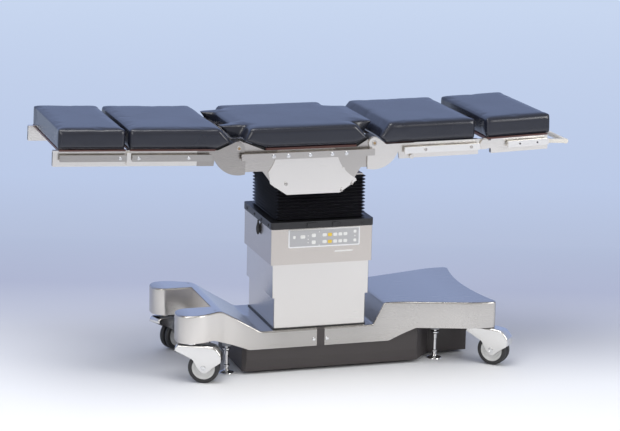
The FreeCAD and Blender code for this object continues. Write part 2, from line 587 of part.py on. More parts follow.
def make_bellows():
    """Four-sided folded bellows, open through the middle for the mast."""
    form = common("bellows_form", zigzag("bellows_long", "xz", "bellows_half_x", "column_x"),
                  zigzag("bellows_cross", "yz", "bellows_half_y", "0"))
    inner_x = "bellows_half_x-bellows_depth-bellows_wall"
    inner_y = "bellows_half_y-bellows_depth-bellows_wall"
    core = box("bellows_core", ("column_x-(%s)" % inner_x, "column_x+%s" % inner_x),
               ("-(%s)" % inner_y, inner_y), ("collar_top-1", "bellows_top+1"))
    node("bellows", cut("bellows", form, core))


def make_keypad():
    """A sealed foil on the front of the upper cover with raised key fields."""
    face = "-upper_cover_half_y"
    parts = [box("keypad_foil", ("keypad_left", "keypad_right"), (face + "-keypad_thick", face),
                 ("keypad_low", "keypad_top"))]
    front = (face + "-keypad_thick-key_raise", face + "-keypad_thick+0.5")
    for row in range(2):
        for column in range(5):
            left = "key_block_left+key_pitch*%d" % column
            low = "keypad_low+key_margin+key_row_pitch*%d" % row
            parts.append(box("key_%d_%d" % (row, column), (left, left + "+key_width"), front,
                             (low, low + "+key_height")))
        level = "keypad_low+key_margin+key_height/2+key_row_pitch*%d" % row
        parts.append(rod("key_round_%d" % row, "y", "key_height/2", front[0], front[1],
                         ("key_round_x", level)))
        parts.append(rod("key_arrow_%d" % row, "y", "key_height/2", front[0], front[1],
                         ("key_arrow_x", level)))
    node("keypad_panel", fuse("keypad_panel", *parts))


def make_mast_head():
    """Inner mast, lift rod and the head with its two lugs."""
    node("mast_inner", tube("mast_inner", "mast_inner_side/2", "mast_inner_side/2", "mast_inner_low",
                            "bellows_top", "mast_wall", None))
    node("lift_rod", rod("lift_rod", "z", "lift_rod_radius", "lift_rod_low", "bellows_top",
                         ("column_x", "0")))
    half_x, half_y = "(bellows_half_x-bellows_depth)", "(bellows_half_y-bellows_depth)"
    plate = box("head_plate", ("column_x-" + half_x, "column_x+" + half_x), ("-" + half_y, half_y),
                ("bellows_top", "bellows_top+bellows_flange"))
    lugs = []
    low, high = "cradle_half_y", "cradle_half_y+lug_thick"
    upright = box("lug_upright", ("column_x-lug_half", "column_x+lug_half"), (low, high),
                  ("bellows_top+1", "tilt_axis_z"))
    top = rod("lug_top", "y", "lug_half", low, high, ("column_x", "tilt_axis_z"))
    bore = rod("lug_bore", "y", "tilt_pin_radius+running_gap", low + "-1", high + "+1",
               ("column_x", "tilt_axis_z"))
    lug = cut("lug", fuse("lug_form", upright, top), bore)
    lugs += [lug, mirrored(lug)]
    node("tilt_head", fuse("tilt_head", plate, *lugs))
    node("tilt_cross", fuse(
        "tilt_cross",
        rod("cross_bar_y", "y", "cross_bar_radius", "-cradle_half_y+face_gap/2", "cradle_half_y-face_gap/2",
            ("column_x", "tilt_axis_z")),
        rod("cross_pin_y", "y", "tilt_pin_radius", "-cradle_half_y-lug_thick-4", "cradle_half_y+lug_thick+4",
            ("column_x", "tilt_axis_z")),
        rod("cross_bar_x", "x", "cross_bar_radius", "column_x-cross_half_x", "column_x+cross_half_x",
            ("0", "tilt_axis_z")),
        rod("cross_pin_x", "x", "tilt_pin_radius", "column_x-cross_half_x-hanger_thick-4",
            "column_x+cross_half_x+hanger_thick+4", ("0", "tilt_axis_z"))))


def rail(name, left, right, spacers, carrier):
    """A flat accessory rail on round spacers."""
    parts = [box(name + "_bar", (left, right), ("rail_inner", "rail_inner+rail_thick"),
                 ("rail_low", "rail_high"))]
    for index, (x, start) in enumerate(spacers):
        parts.append(rod("%s_spacer_%d" % (name, index), "y", "spacer_radius", start or carrier,
                         "rail_inner+1", (x, "(rail_low+rail_high)/2")))
    return fuse(name, *parts)


def make_seat():
    """The fixed middle section that the two hinges hang from."""
    spine = box("frame_spine", ("frame_left_x-cross_half", "frame_right_x+cross_half"),
                ("-spine_half", "spine_half"), ("frame_low", BOARD_LOW))
    crosses = [box("frame_cross_" + label, (x + "-cross_half", x + "+cross_half"),
                   ("-side_plate_inner", "side_plate_inner"), ("frame_low", BOARD_LOW))
               for label, x in (("leg", "frame_left_x"), ("head", "frame_right_x"))]
    hangers = []
    for label, low, high in (
            ("leg", "column_x-cross_half_x-face_gap-hanger_thick", "column_x-cross_half_x-face_gap"),
            ("head", "column_x+cross_half_x+face_gap", "column_x+cross_half_x+face_gap+hanger_thick")):
        upright = box("hanger_block_" + label, (low, high), ("-lug_half", "lug_half"),
                      ("tilt_axis_z", "frame_low+1"))
        ring = rod("hanger_ring_" + label, "x", "lug_half", low, high, ("0", "tilt_axis_z"))
        bore = rod("hanger_bore_" + label, "x", "tilt_pin_radius+running_gap", low + "-1", high + "+1",
                   ("0", "tilt_axis_z"))
        hangers.append(cut("hanger_" + label, fuse("hanger_form_" + label, upright, ring), bore))
    node("seat_frame", fuse("seat_frame", spine, *crosses, *hangers))

    plate = prism("side_plate_form", "xz", "side_plate_inner", "side_plate_inner+side_plate_thick", [
        ("leg_pivot_x-24", "pivot_z-14"), ("leg_pivot_x-24", "pivot_z-60"), ("leg_pivot_x+4", "plate_low"),
        ("trapezoid_left-64", "plate_low"), ("trapezoid_left-14", "trapezoid_low+30"),
        ("trapezoid_right+70", "trapezoid_low+30"), ("trapezoid_right+112", "plate_low"),
        ("back_pivot_x-4", "plate_low"), ("back_pivot_x+18", "pivot_z-60"),
        ("back_pivot_x+20", "pivot_z-14"), ("back_pivot_x", "pivot_z+10"),
        ("back_pivot_x-26", "pivot_z+14"), ("seat_right-seat_heel_right+weld", BOARD_LOW),
        ("seat_left+seat_heel_left-4", BOARD_LOW), ("leg_pivot_x+23", "pivot_z+21")])
    bosses = [rod("boss_leg", "y", "boss_leg_radius", "side_plate_inner",
                  "side_plate_inner+side_plate_thick", ("leg_pivot_x", "pivot_z")),
              rod("boss_back", "y", "boss_back_radius", "side_plate_inner",
                  "side_plate_inner+side_plate_thick", ("back_pivot_x", "pivot_z"))]
    side = fuse("side_plate_solid", plate, *bosses)
    for label, x in (("leg", "leg_pivot_x"), ("back", "back_pivot_x")):
        eye = rod("side_plate_eye_" + label, "y", "shaft_radius", "side_plate_inner-1",
                  "side_plate_inner+side_plate_thick+1", (x, "pivot_z"))
        side = cut("side_plate_" + label, side, eye)
    node("seat_side_plates", both("seat_side_plates", side))

    cover = prism("cover_form", "xz", "side_plate_inner+side_plate_thick",
                  "side_plate_inner+side_plate_thick+cover_thick", [
                      ("trapezoid_left", BOARD_LOW), ("trapezoid_left-46", "pivot_z-73"),
                      ("trapezoid_left-33", "trapezoid_shoulder"), ("trapezoid_left+34", "trapezoid_low"),
                      ("trapezoid_right+27", "trapezoid_low"), ("trapezoid_right+95", "trapezoid_shoulder"),
                      ("trapezoid_right+62", "pivot_z-73"), ("trapezoid_right", BOARD_LOW)])
    for label, x in (("leg", "leg_pivot_x"), ("back", "back_pivot_x")):
        bite = rod("cover_bite_" + label, "y", "trapezoid_arc", "side_plate_inner", "beam_outer",
                   (x, "pivot_z"))
        cover = cut("cover_" + label, cover, bite)
    screws = []
    for index, (x, z) in enumerate((("trapezoid_left+30", "trapezoid_low+50"),
                                    ("trapezoid_right+78", "trapezoid_shoulder-7"),
                                    ("trapezoid_right+35", "trapezoid_low+15"),
                                    ("trapezoid_right+40", "trapezoid_low+97"))):
        screws.append(rod("cover_screw_%d" % index, "y", "screw_radius",
                          "side_plate_inner+side_plate_thick+cover_thick-1",
                          "side_plate_inner+side_plate_thick+cover_thick+screw_head", (x, z)))
    node("seat_cover_plates", both("seat_cover_plates", fuse("cover_plate", cover, *screws)))

    on_cover = "side_plate_inner+side_plate_thick+cover_thick"
    spacers = [("-170", None), ("-111", on_cover), ("-22", on_cover), ("66", on_cover), ("127", None)]
    node("seat_rails", both("seat_rails", rail("seat_rail", "leg_pivot_x+5", "back_pivot_x-5", spacers,
                                               "side_plate_inner+side_plate_thick")))
    node("seat_board", box("seat_board", ("seat_left+seat_heel_left", "seat_right-seat_heel_right"),
                           ("-side_plate_inner-side_plate_thick", "side_plate_inner+side_plate_thick"),
                           (BOARD_LOW, BOARD_TOP)))
    cylinders = []
    for label, y in (("near", "-drive_y"), ("far", "drive_y")):
        cylinders.append(rod("drive_body_" + label, "x", "drive_radius", "frame_left_x", "frame_right_x-60",
                             (y, "drive_z")))
        cylinders.append(rod("drive_rod_" + label, "x", "drive_radius/2", "frame_right_x-62",
                             "frame_right_x+cross_half", (y, "drive_z")))
        cylinders.append(box("drive_foot_" + label, ("frame_left_x-cross_half", "frame_left_x+cross_half"),
                             (y + "-12", y + "+12"), ("drive_z", "frame_low")))
        cylinders.append(box("drive_eye_" + label, ("frame_right_x-cross_half", "frame_right_x+cross_half"),
                             (y + "-12", y + "+12"), ("drive_z-8", "frame_low")))
    node("drive_cylinders", fuse("drive_cylinders", *cylinders))
    for label, x in (("leg", "leg_pivot_x"), ("back", "back_pivot_x")):
        pin = rod("pin_%s_shank" % label, "y", "shaft_radius", "side_plate_inner-4", HINGE_OUT + "+1",
                  (x, "pivot_z"))
        head = rod("pin_%s_head" % label, "y", "shaft_radius+pin_head", HINGE_OUT + "+0.3", HINGE_OUT + "+4",
                   (x, "pivot_z"))
        node(label + "_hinge_pins", both(label + "_hinge_pins", fuse("pin_" + label, pin, head)))
    make_seat_pads()


def make_seat_pads():
    """The wide seat pad and the two narrower foam tongues that cover the hinges."""
    pad = prism("seat_pad", "xz", "-" + PAD_HALF, PAD_HALF, [
        ("seat_left", "table_top"), ("seat_left-seat_nose_left", "table_top-seat_nose_drop+3"),
        ("seat_left+seat_heel_left", BOARD_TOP), ("seat_right-seat_heel_right", BOARD_TOP),
        ("seat_right+seat_nose_right", "table_top-seat_nose_drop-3"), ("seat_right", "table_top")])
    node("seat_pad", pad)
    low = "table_top-seat_nose_drop-4"
    leg = prism("tongue_leg", "xz", "-tongue_half", "tongue_half", [
        ("tongue_left", "table_top"), ("tongue_left+tongue_slope", low),
        ("seat_left-seat_nose_left+18", low), ("seat_left-seat_nose_left", "table_top-seat_nose_drop+3"),
        ("seat_left", "table_top")])
    notch = box("tongue_notch", ("tongue_left-1", "tongue_left+notch_depth"),
                ("-notch_half", "notch_half"), (low + "-1", "table_top+1"))
    node("seat_tongue_leg", cut("seat_tongue_leg", leg, notch))
    node("seat_tongue_back", prism("seat_tongue_back", "xz", "-tongue_half", "tongue_half", [
        ("seat_right", "table_top"), ("seat_right+seat_nose_right", "table_top-seat_nose_drop-3"),
        ("tongue_right-tongue_slope", low), ("tongue_right", "table_top")]))


def hollow_beam(name, left, right, low=BEAM_LOW, high=BOARD_TOP):
    """A side beam: rectangular tube, open at both ends."""
    skin = box(name + "_skin", (left, right), (BEAM_IN, "beam_outer"), (low, high))
    hollow = box(name + "_hollow", (left + "-1", right + "+1"),
                 (BEAM_IN + "+beam_wall", "beam_outer-beam_wall"),
                 (low + "+beam_wall", high + "-beam_wall"))
    return cut(name, skin, hollow)


def board(name, left, right, pose, members):
    """A thin board between the side beams with its cross members below it."""
    parts = [box(name + "_sheet", (left, right), ("-(%s)" % BEAM_IN, BEAM_IN), (BOARD_LOW, BOARD_TOP))]
    for index, x in enumerate(members):
        parts.append(box("%s_member_%d" % (name, index), (x + "-12", x + "+12"),
                         ("-(%s)" % BEAM_IN, BEAM_IN), (BOARD_LOW + "-20", BOARD_LOW + "+1")))
    node(name, fuse(name, *parts), pose)


def make_leg_section():
    """Folding leg section on its two hinge plates."""
    shy = BOARD_TOP + "-plate_shy"
    web = prism("leg_plate_form", "xz", HINGE_IN, HINGE_OUT, [
        ("leg_plate_left", "web_low"), ("leg_plate_step", "web_low"),
        ("leg_plate_step+4", "pivot_z-40"), ("leg_pivot_x", "pivot_z-40"),
        ("leg_pivot_x+2", "pivot_z+27"), ("leg_pivot_x-17", "pivot_z+25"),
        ("leg_pivot_x-25", "pivot_z+20"), ("leg_pad_right-leg_pad_heel-face_gap", shy), ("leg_plate_left", shy)])
    plate = hinge_plate("leg", web, "leg_pivot_x", "leg_pivot_x+lobe_keep")
    node("leg_hinge_plates", both("leg_hinge_plates", plate), "leg")
    beam = hollow_beam("leg_beam", "leg_beam_left", "leg_plate_left")
    root = box("leg_beam_root", ("leg_plate_left-beam_root", "leg_pivot_x-beam_reach"),
               (BEAM_IN, HINGE_IN), (BEAM_LOW, shy))
    flange = box("leg_beam_flange", ("leg_beam_left", "leg_beam_left+8"),
                 ("beam_outer-1", "beam_outer+flange_stand"), (BEAM_LOW + "+6", BOARD_TOP + "-6"))
    node("leg_beams", both("leg_beams", fuse("leg_beam_whole", beam, root, flange)), "leg")
    spacers = [("leg_beam_left+60", None), ("(leg_beam_left+leg_plate_left)/2", None),
               ("leg_plate_left-25", None)]
    node("leg_rails", both("leg_rails", rail("leg_rail", "leg_beam_left+11", "leg_pivot_x-113", spacers,
                                             "beam_outer")), "leg")
    board("leg_board", "leg_pad_left+pad_inset", "leg_pad_right-leg_pad_heel", "leg",
          ["leg_pad_left+60", "leg_plate_left+20"])
    node("leg_pad", prism("leg_pad", "xz", "-" + PAD_HALF, PAD_HALF, [
        ("leg_pad_left", BOARD_TOP), ("leg_pad_right-leg_pad_heel", BOARD_TOP),
        ("leg_pad_right+leg_nose", "table_top-leg_nose_drop"), ("leg_pad_right", "table_top"),
        ("leg_pad_left", "table_top")]), "leg")

    beam = hollow_beam("ext_beam", "ext_beam_left", "ext_beam_right-8")
    gap = "beam_wall+slide_gap"
    runner = box("ext_runner", ("ext_beam_right-20", "ext_beam_right+runner_reach"),
                 (BEAM_IN + "+" + gap, "beam_outer-(%s)" % gap),
                 (BEAM_LOW + "+" + gap, BOARD_TOP + "-(%s)" % gap))
    neck = box("ext_plug", ("ext_beam_right-60", "ext_beam_right-15"),
               (BEAM_IN + "+1", "beam_outer-1"), (BEAM_LOW + "+1", BOARD_TOP + "-1"))
    flange = box("ext_flange", ("ext_beam_right-16", "ext_beam_right-8"),
                 ("beam_outer-1", "beam_outer+flange_stand"), (BEAM_LOW + "+6", BOARD_TOP + "-6"))
    node("extension_beams", both("extension_beams", fuse("ext_beam_whole", beam, runner, neck, flange)),
         "leg")
    spacers = [("ext_beam_left+45", None), ("(ext_beam_left+ext_beam_right)/2", None),
               ("ext_beam_right-45", None)]
    node("extension_rails", both("extension_rails", rail("ext_rail", "ext_beam_left+23",
                                                         "ext_beam_right-18", spacers,
                                                         "beam_outer")), "leg")
    board("extension_board", "ext_pad_left+pad_inset", "ext_pad_right", "leg",
          ["ext_pad_left+40", "ext_pad_right-30"])
    node("extension_pad", box("extension_pad", ("ext_pad_left", "ext_pad_right"),
                              ("-" + PAD_HALF, PAD_HALF), (BOARD_TOP, "table_top")), "leg")


def hinge_plate(label, web, x, keep):
    """A plate with a round lobe below the hinge axis, bored for the hinge pin."""
    lobe = rod("lobe_" + label, "y", "lobe_radius", HINGE_IN, HINGE_OUT, (x, "pivot_z"))
    ends = ["%s-lobe_radius-1" % x, keep] if label == "leg" else [keep, "%s+lobe_radius+1" % x]
    window = box("lobe_window_" + label, ends, (HINGE_IN + "-1", HINGE_OUT + "+1"),
                 ("pivot_z-lobe_radius-1", "pivot_z-8"))
    wedge_ends = ["%s+20" % x, "%s+lobe_radius" % x] if label == "leg" else ["%s-lobe_radius" % x,
                                                                             "%s-20" % x]
    wedge = box("lobe_wedge_" + label, wedge_ends, (HINGE_IN + "-2", HINGE_OUT + "+2"),
                ("pivot_z-36", "pivot_z+40"))
    eye = rod("eye_ring_" + label, "y", "shaft_radius+eye_wall", HINGE_IN, HINGE_OUT, (x, "pivot_z"))
    bore = rod("eye_" + label, "y", "shaft_radius+running_gap", HINGE_IN + "-1", HINGE_OUT + "+1",
               (x, "pivot_z"))
    body = cut("lobe_open_" + label, common("lobe_part_" + label, lobe, window), wedge)
    return cut("hinge_plate_" + label, fuse("hinge_form_" + label, body, web, eye), bore)


def make_back_section():
    """Folding back section; its hinge mirrors the leg hinge."""
    shy = BOARD_TOP + "-plate_shy"
    web = prism("back_plate_form", "xz", HINGE_IN, HINGE_OUT, [
        ("back_pivot_x", "pivot_z-40"), ("back_pivot_x+99", "pivot_z-40"),
        ("back_pivot_x+103", "web_low"), ("back_plate_right", "web_low"),
        ("back_plate_right", shy), ("back_pad_left-back_heel-1", shy),
        ("back_pivot_x+19", "pivot_z+17"), ("back_pivot_x", "pivot_z+22")])
    plate = hinge_plate("back", web, "back_pivot_x", "back_pivot_x-lobe_keep")
    knob = rod("back_knob", "y", "knob_radius", HINGE_OUT + "-1", "rail_inner-1",
               ("back_plate_right-12", "web_low+8"))
    node("back_hinge_plates", both("back_hinge_plates", fuse("back_plate_whole", plate, knob)), "back")
    beam = hollow_beam("back_beam", "back_plate_right", "back_beam_right+15")
    root = box("back_beam_root", ("back_pivot_x+beam_reach", "back_plate_right+beam_root"),
               (BEAM_IN, HINGE_IN), (BEAM_LOW, shy))
    middle = BEAM_IN + "+beam_width/2"
    ear = rod("back_ear", "y", "ear_radius", BEAM_IN, middle + "-face_gap/2", ("head_pivot_x", "head_pivot_z"))
    ear_neck = box("back_ear_neck", ("back_beam_right-15", "head_pivot_x"),
                   (BEAM_IN, middle + "-face_gap/2"),
                   ("head_pivot_z-ear_radius", "head_pivot_z+ear_radius-2"))
    eye = rod("back_ear_bore", "y", "head_pin_radius+running_gap", BEAM_IN + "-1", "beam_outer+1",
              ("head_pivot_x", "head_pivot_z"))
    node("back_beams", both("back_beams", cut("back_beam_bored",
                                              fuse("back_beam_whole", beam, root, ear, ear_neck), eye)),
         "back")
    spacers = [("back_plate_right+35", None), ("(back_plate_right+back_beam_right)/2", None),
               ("back_beam_right-45", None)]
    node("back_rails", both("back_rails", rail("back_rail", "back_pivot_x+119", "back_beam_right+14",
                                               spacers, "beam_outer")), "back")
    board("back_board", "back_pad_left-back_heel", "back_pad_right-pad_inset", "back",
          ["back_plate_right-20", "back_pad_right-60"])
    node("back_pad", prism("back_pad", "xz", "-" + PAD_HALF, PAD_HALF, [
        ("back_pad_left-back_heel", BOARD_TOP), ("back_pad_right", BOARD_TOP),
        ("back_pad_right", "table_top"), ("back_pad_left", "table_top"),
        ("back_pad_left-back_nose", "table_top-back_nose_drop")]), "back")


def make_head_section():
    """Head section on its own hinge, with the sprung release bar across its end."""
    middle = BEAM_IN + "+beam_width/2"
    beam = hollow_beam("head_beam", "head_pivot_x+ear_radius+2", "head_beam_right")
    ear = rod("head_ear", "y", "ear_radius-2", middle + "+face_gap/2", "beam_outer",
              ("head_pivot_x", "head_pivot_z"))
    neck = box("head_ear_neck", ("head_pivot_x", "head_pivot_x+ear_radius+6"),
               (middle + "+face_gap/2", "beam_outer"),
               ("head_pivot_z-ear_radius+4", "head_pivot_z+ear_radius-8"))
    pin = rod("head_pin", "y", "head_pin_radius", BEAM_IN + "+1", "beam_outer-1",
              ("head_pivot_x", "head_pivot_z"))
    node("head_beams", both("head_beams", fuse("head_beam_whole", beam, ear, neck, pin)), "head")
    spacers = [("head_pivot_x+120", None), ("head_beam_right-45", None)]
    node("head_rails", both("head_rails", rail("head_rail", "head_pivot_x+89", "head_beam_right-5",
                                               spacers, "beam_outer")), "head")
    board("head_board", "head_pad_left+pad_inset", "head_beam_right", "head",
          ["head_pad_left+50", "head_beam_right-70"])
    node("head_pad", box("head_pad", ("head_pad_left", "head_pad_right"), ("-" + PAD_HALF, PAD_HALF),
                         (BOARD_TOP, "table_top")), "head")
    arm_in, arm_out = middle + "-arm_thick/2", middle + "+arm_thick/2"
    arm = prism("release_arm", "xz", arm_in, arm_out, [
        ("release_pivot_x-12", "release_pivot_z-9"), ("head_beam_right+20", "release_pivot_z-9"),
        ("release_x", "release_z-release_radius+2"), ("release_x", "release_z+release_radius-2"),
        ("head_beam_right+20", "release_pivot_z+7"), ("release_pivot_x-12", "release_pivot_z+9")])
    pivot = rod("release_pin", "y", "6", BEAM_IN + "+beam_wall+0.3", "beam_outer-beam_wall-0.3",
                ("release_pivot_x", "release_pivot_z"))
    side = fuse("release_side", arm, pivot)
    bar = rod("release_cross_bar", "y", "release_radius", "-(%s)" % arm_out, arm_out,
              ("release_x", "release_z"))
    node("head_release_bar", fuse("head_release_bar", side, mirrored(side), bar), "head")


make_base_cover()
make_skirt()
make_chassis()
make_floor_locks()
make_casters()
make_column_foot()
make_carriage()
make_mast_head()
make_seat()
make_leg_section()
make_back_section()
make_head_section()
doc.recompute()


def turn_about(x, z, degrees):
    """A turn about a line across the table; positive lifts the head end."""
    spin = FreeCAD.Rotation(FreeCAD.Vector(0, -1, 0), degrees)
    centre = FreeCAD.Vector(number(x), 0, number(z))
    return FreeCAD.Placement(centre - spin.multVec(centre), spin)


back_pose = turn_about("back_pivot_x", "pivot_z", number("back_rest_angle"))
POSES = {
    "still": FreeCAD.Placement(),
    "leg": turn_about("leg_pivot_x", "pivot_z", -number("leg_rest_angle")),
    "back": back_pose,
    "head": back_pose.multiply(turn_about("head_pivot_x", "head_pivot_z", number("head_rest_angle"))),
}
for label, solid, pose in NODES:
    if pose != "still":
        solid.Placement = POSES[pose].multiply(solid.Placement)
doc.recompute()

whole = FreeCAD.BoundBox()
for label, solid, pose in NODES:
    whole.add(solid.Shape.BoundBox)
shift = FreeCAD.Vector(-(whole.XMin + whole.XMax) / 2, -(whole.YMin + whole.YMax) / 2, -whole.ZMin)
print("frame shift", round(shift.x, 4), round(shift.y, 4), round(shift.z, 4), "size",
      round(whole.XLength, 1), round(whole.YLength, 1), round(whole.ZLength, 1))
for label, solid, pose in NODES:
    solid.Placement = FreeCAD.Placement(shift, FreeCAD.Rotation()).multiply(solid.Placement)
doc.recompute()

for thing in doc.Objects:
    if "Invalid" in thing.State or "Error" in thing.State:
        raise RuntimeError("%s did not build: %s" % (thing.Name, thing.State))
os.makedirs("parts", exist_ok=True)
for label, solid, pose in NODES:
    if solid.Shape.isNull() or not solid.Shape.isValid() or not solid.Shape.Solids:
        raise RuntimeError("%s has no sound solid" % label)
for label, solid, pose in NODES:
    solid.Shape.exportStep("parts/%s.step" % label)
print(len(NODES), "nodes")
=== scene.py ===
import json
import math

import bmesh
import bpy
import numpy as np
from mathutils import Matrix, Vector


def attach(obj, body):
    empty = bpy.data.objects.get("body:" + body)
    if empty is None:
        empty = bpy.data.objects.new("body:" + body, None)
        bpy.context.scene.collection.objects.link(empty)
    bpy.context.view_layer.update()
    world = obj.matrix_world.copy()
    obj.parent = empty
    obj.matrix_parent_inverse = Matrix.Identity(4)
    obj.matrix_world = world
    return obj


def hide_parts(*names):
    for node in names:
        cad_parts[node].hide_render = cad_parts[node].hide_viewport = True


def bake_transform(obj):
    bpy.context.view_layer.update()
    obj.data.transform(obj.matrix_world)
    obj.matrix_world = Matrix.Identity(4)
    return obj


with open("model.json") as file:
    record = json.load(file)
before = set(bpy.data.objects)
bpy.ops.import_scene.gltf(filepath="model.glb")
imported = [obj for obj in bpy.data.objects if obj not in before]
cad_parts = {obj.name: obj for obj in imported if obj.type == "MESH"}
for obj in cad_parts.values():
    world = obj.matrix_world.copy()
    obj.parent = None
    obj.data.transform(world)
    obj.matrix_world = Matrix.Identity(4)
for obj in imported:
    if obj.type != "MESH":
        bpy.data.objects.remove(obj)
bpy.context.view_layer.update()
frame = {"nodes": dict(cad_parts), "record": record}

print("stage: frame loaded")

mm = 0.001
camera = {
    "place": (-2.53758, -8.19086, 2.57531),
    "yaw": -17.5278,      # degrees to the right of straight at the keypad side
    "down": 13.0099,
    "roll": 1.1491,
    "lens": 127.056, "frame": 36.0,      # mm
    "far": 100.0,
}
stage = {
    "heading": (0.301, 0.954, 0.0),
    "eye": 8.58,             # metres from the camera's foot point back to the origin along the heading
    "near": 7.7, "far": 19.7,
    "backdrop": [             # metres from the camera and colour there
        (7.7, (0.93, 0.93, 0.93)), (8.3, (0.85, 0.855, 0.865)), (8.9, (0.66, 0.67, 0.71)),
        (9.7, (0.475, 0.51, 0.65)), (10.5, (0.46, 0.525, 0.70)), (12.0, (0.50, 0.59, 0.80)),
        (19.7, (0.58, 0.68, 0.87))],
    "fade": (9.9, 1.4),
    "front": (0.80, 0.78, 0.75), "back": (0.62, 0.78, 1.26), "above": (0.66, 0.69, 0.76),
    "backFrom": (0.15, 0.9), "aboveFrom": (0.75, 0.6),
    "strength": 0.62, "reach": 30.0, "roughness": 0.7, "gloss": 0.2,
}
lamps = {
    # name: place, aim, width, depth, watts
    "overhead": ((-1.0, -0.6, 4.4), (0.0, 0.0, 0.6), 3.4, 2.6, 120.0),
    "leftFront": ((-3.4, -4.0, 2.8), (0.0, 0.0, 0.6), 1.8, 2.4, 46.0),
    "rightFront": ((3.2, -3.6, 2.6), (0.2, 0.0, 0.6), 1.6, 2.4, 78.0),
}


class Wire:
    # One output of a node tree that can stand in a sum or product with another or a number.
    def __init__(self, paint, socket):
        self.paint = paint
        self.socket = socket

    def math(self, operation, *others):
        return self.paint.node("ShaderNodeMath", {"operation": operation}, [self, *others])

    def __add__(self, other):
        return self.math("ADD", other)

    def __sub__(self, other):
        return self.math("SUBTRACT", other)

    def __mul__(self, other):
        return self.math("MULTIPLY", other)

    def __truediv__(self, other):
        return self.math("DIVIDE", other)

    def clamp(self):
        return self.paint.node("ShaderNodeClamp", {}, [self, 0.0, 1.0])

    def above(self, level, soft):
        # 0 below a level, 1 above it, with a soft edge.
        return ((self - level) / soft + 0.5).clamp()

    def blendOf(self, low, high):
        # A colour between two, with this as the share of the second.
        return self.paint.node("ShaderNodeMix", {"data_type": "RGBA"},
                               {"Factor": self, 6: low, 7: high}, output=2)


class Paint:
    # A material with its Principled shader and one way of adding any other node.
    def __init__(self, name, **fixed):
        self.material = bpy.data.materials.new(name)
        self.material.use_nodes = True
        self.tree = self.material.node_tree
        self.shader = next(n for n in self.tree.nodes if n.type == "BSDF_PRINCIPLED")
        for socketName, value in fixed.items():
            self.put(self.shader.inputs[socketName.replace("_", " ")], value)

    def put(self, socket, value):
        if isinstance(value, Wire):
            self.tree.links.new(value.socket, socket)
        elif socket.type == "RGBA":
            socket.default_value = (*value[:3], 1.0)
        elif isinstance(value, tuple):
            socket.default_value = value
        else:
            socket.default_value = float(value)

    def node(self, kind, settings=None, inputs=None, output=0):
        # Adds a node: its settings first, then its sockets by order or by name.
        made = self.tree.nodes.new(kind)
        for key, value in (settings or {}).items():
            if key == "stops":
                ramp = made.color_ramp
                while len(ramp.elements) < len(value):
                    ramp.elements.new(0.5)
                for element, (place, colour) in zip(ramp.elements, value):
                    element.position = place
                    element.color = (*colour, 1.0)
            else:
                setattr(made, key, value)
        pairs = enumerate(inputs) if isinstance(inputs, list) else (inputs or {}).items()
        for key, value in pairs:
            self.put(made.inputs[key], value)
        return Wire(self, made.outputs[output])

    def set(self, socketName, value):
        self.put(self.shader.inputs[socketName], value)
        return self

    def place(self, stretch=(1.0, 1.0, 1.0)):
        # Object coordinates stretched along each axis.
        where = self.node("ShaderNodeTexCoord", output=3)
        return self.node("ShaderNodeVectorMath", {"operation": "MULTIPLY"}, [where, stretch])

    def noise(self, scale, stretch=(1.0, 1.0, 1.0), detail=3.0, rough=0.55):
        return self.node("ShaderNodeTexNoise", {},
                         {"Vector": self.place(stretch), "Scale": scale, "Detail": detail,
                          "Roughness": rough})

    def bump(self, height, distance, strength=1.0):
        normal = self.node("ShaderNodeBump", {},
                           {"Height": height, "Distance": distance, "Strength": strength})
        return self.set("Normal", normal)


steel = {
    "base": (0.74, 0.715, 0.68), "shade": (0.66, 0.635, 0.605), "roughness": 0.26,
    "grain": 420.0, "grainDepth": 0.000012, "grainStrength": 0.3, "drawn": 0.02, "clouds": 2.2,
    "streakShare": 0.35, "cloudShare": 0.65, "streakGloss": 0.05, "cloudGloss": 0.06,
    # painted reflection: tones along the table, darker in the middle and bright at the arms, light and shade
    # painted into the base cover's colour
    "paintedReflectionBands": [(-0.56, 0.70), (-0.50, 0.98), (-0.40, 1.0), (-0.27, 0.76), (-0.12, 0.60), (0.20, 0.62),
              (0.36, 0.74), (0.60, 0.80), (0.77, 0.72)],
}


def brushedSteel(name, along, base=None, shade=None, roughness=None, paintedReflectionBands=None):
    # Sheet steel brushed along one axis: fine streaks, long ones in that axis; the painted reflection is a
    # list of places in metres along the table and the tone there, light and shade painted into the colour as
    # such sheet mirrors a room in soft stripes.
    stretch = [1.0, 1.0, 1.0]
    stretch["xyz".index(along)] = steel["drawn"]
    paint = Paint(name, Metallic=1.0)
    streak = paint.noise(steel["grain"], tuple(stretch), 1.0, 0.5)
    cloud = paint.noise(steel["clouds"], detail=2.0)
    share = (streak * steel["streakShare"] + cloud * steel["cloudShare"]).clamp()
    tone = share.blendOf(shade or steel["shade"], base or steel["base"])
    # painted reflection: the colour is multiplied by stripes of painted light and shade along the table
    if paintedReflectionBands:
        first, last = paintedReflectionBands[0][0], paintedReflectionBands[-1][0]
        along = paint.node("ShaderNodeSeparateXYZ", {}, [paint.place()], output=0)
        stops = [((place - first) / (last - first), (level, level, level)) for place, level in paintedReflectionBands]
        level = paint.node("ShaderNodeValToRGB", {"stops": stops}, [(along - first) / (last - first)])
        tone = paint.node("ShaderNodeVectorMath", {"operation": "MULTIPLY"}, [tone, level])
    paint.set("Base Color", tone)
    rough = (streak - 0.5) * steel["streakGloss"] + (cloud - 0.5) * steel["cloudGloss"]
    paint.set("Roughness", (rough + (roughness or steel["roughness"])).clamp())
    paint.bump(streak, steel["grainDepth"], steel["grainStrength"])
    return paint.material


polish = {
    "smears": 14.0, "dark": (0.70, 0.70, 0.70), "light": (0.82, 0.82, 0.82),
    "spread": 0.12, "roughness": 0.10,
}


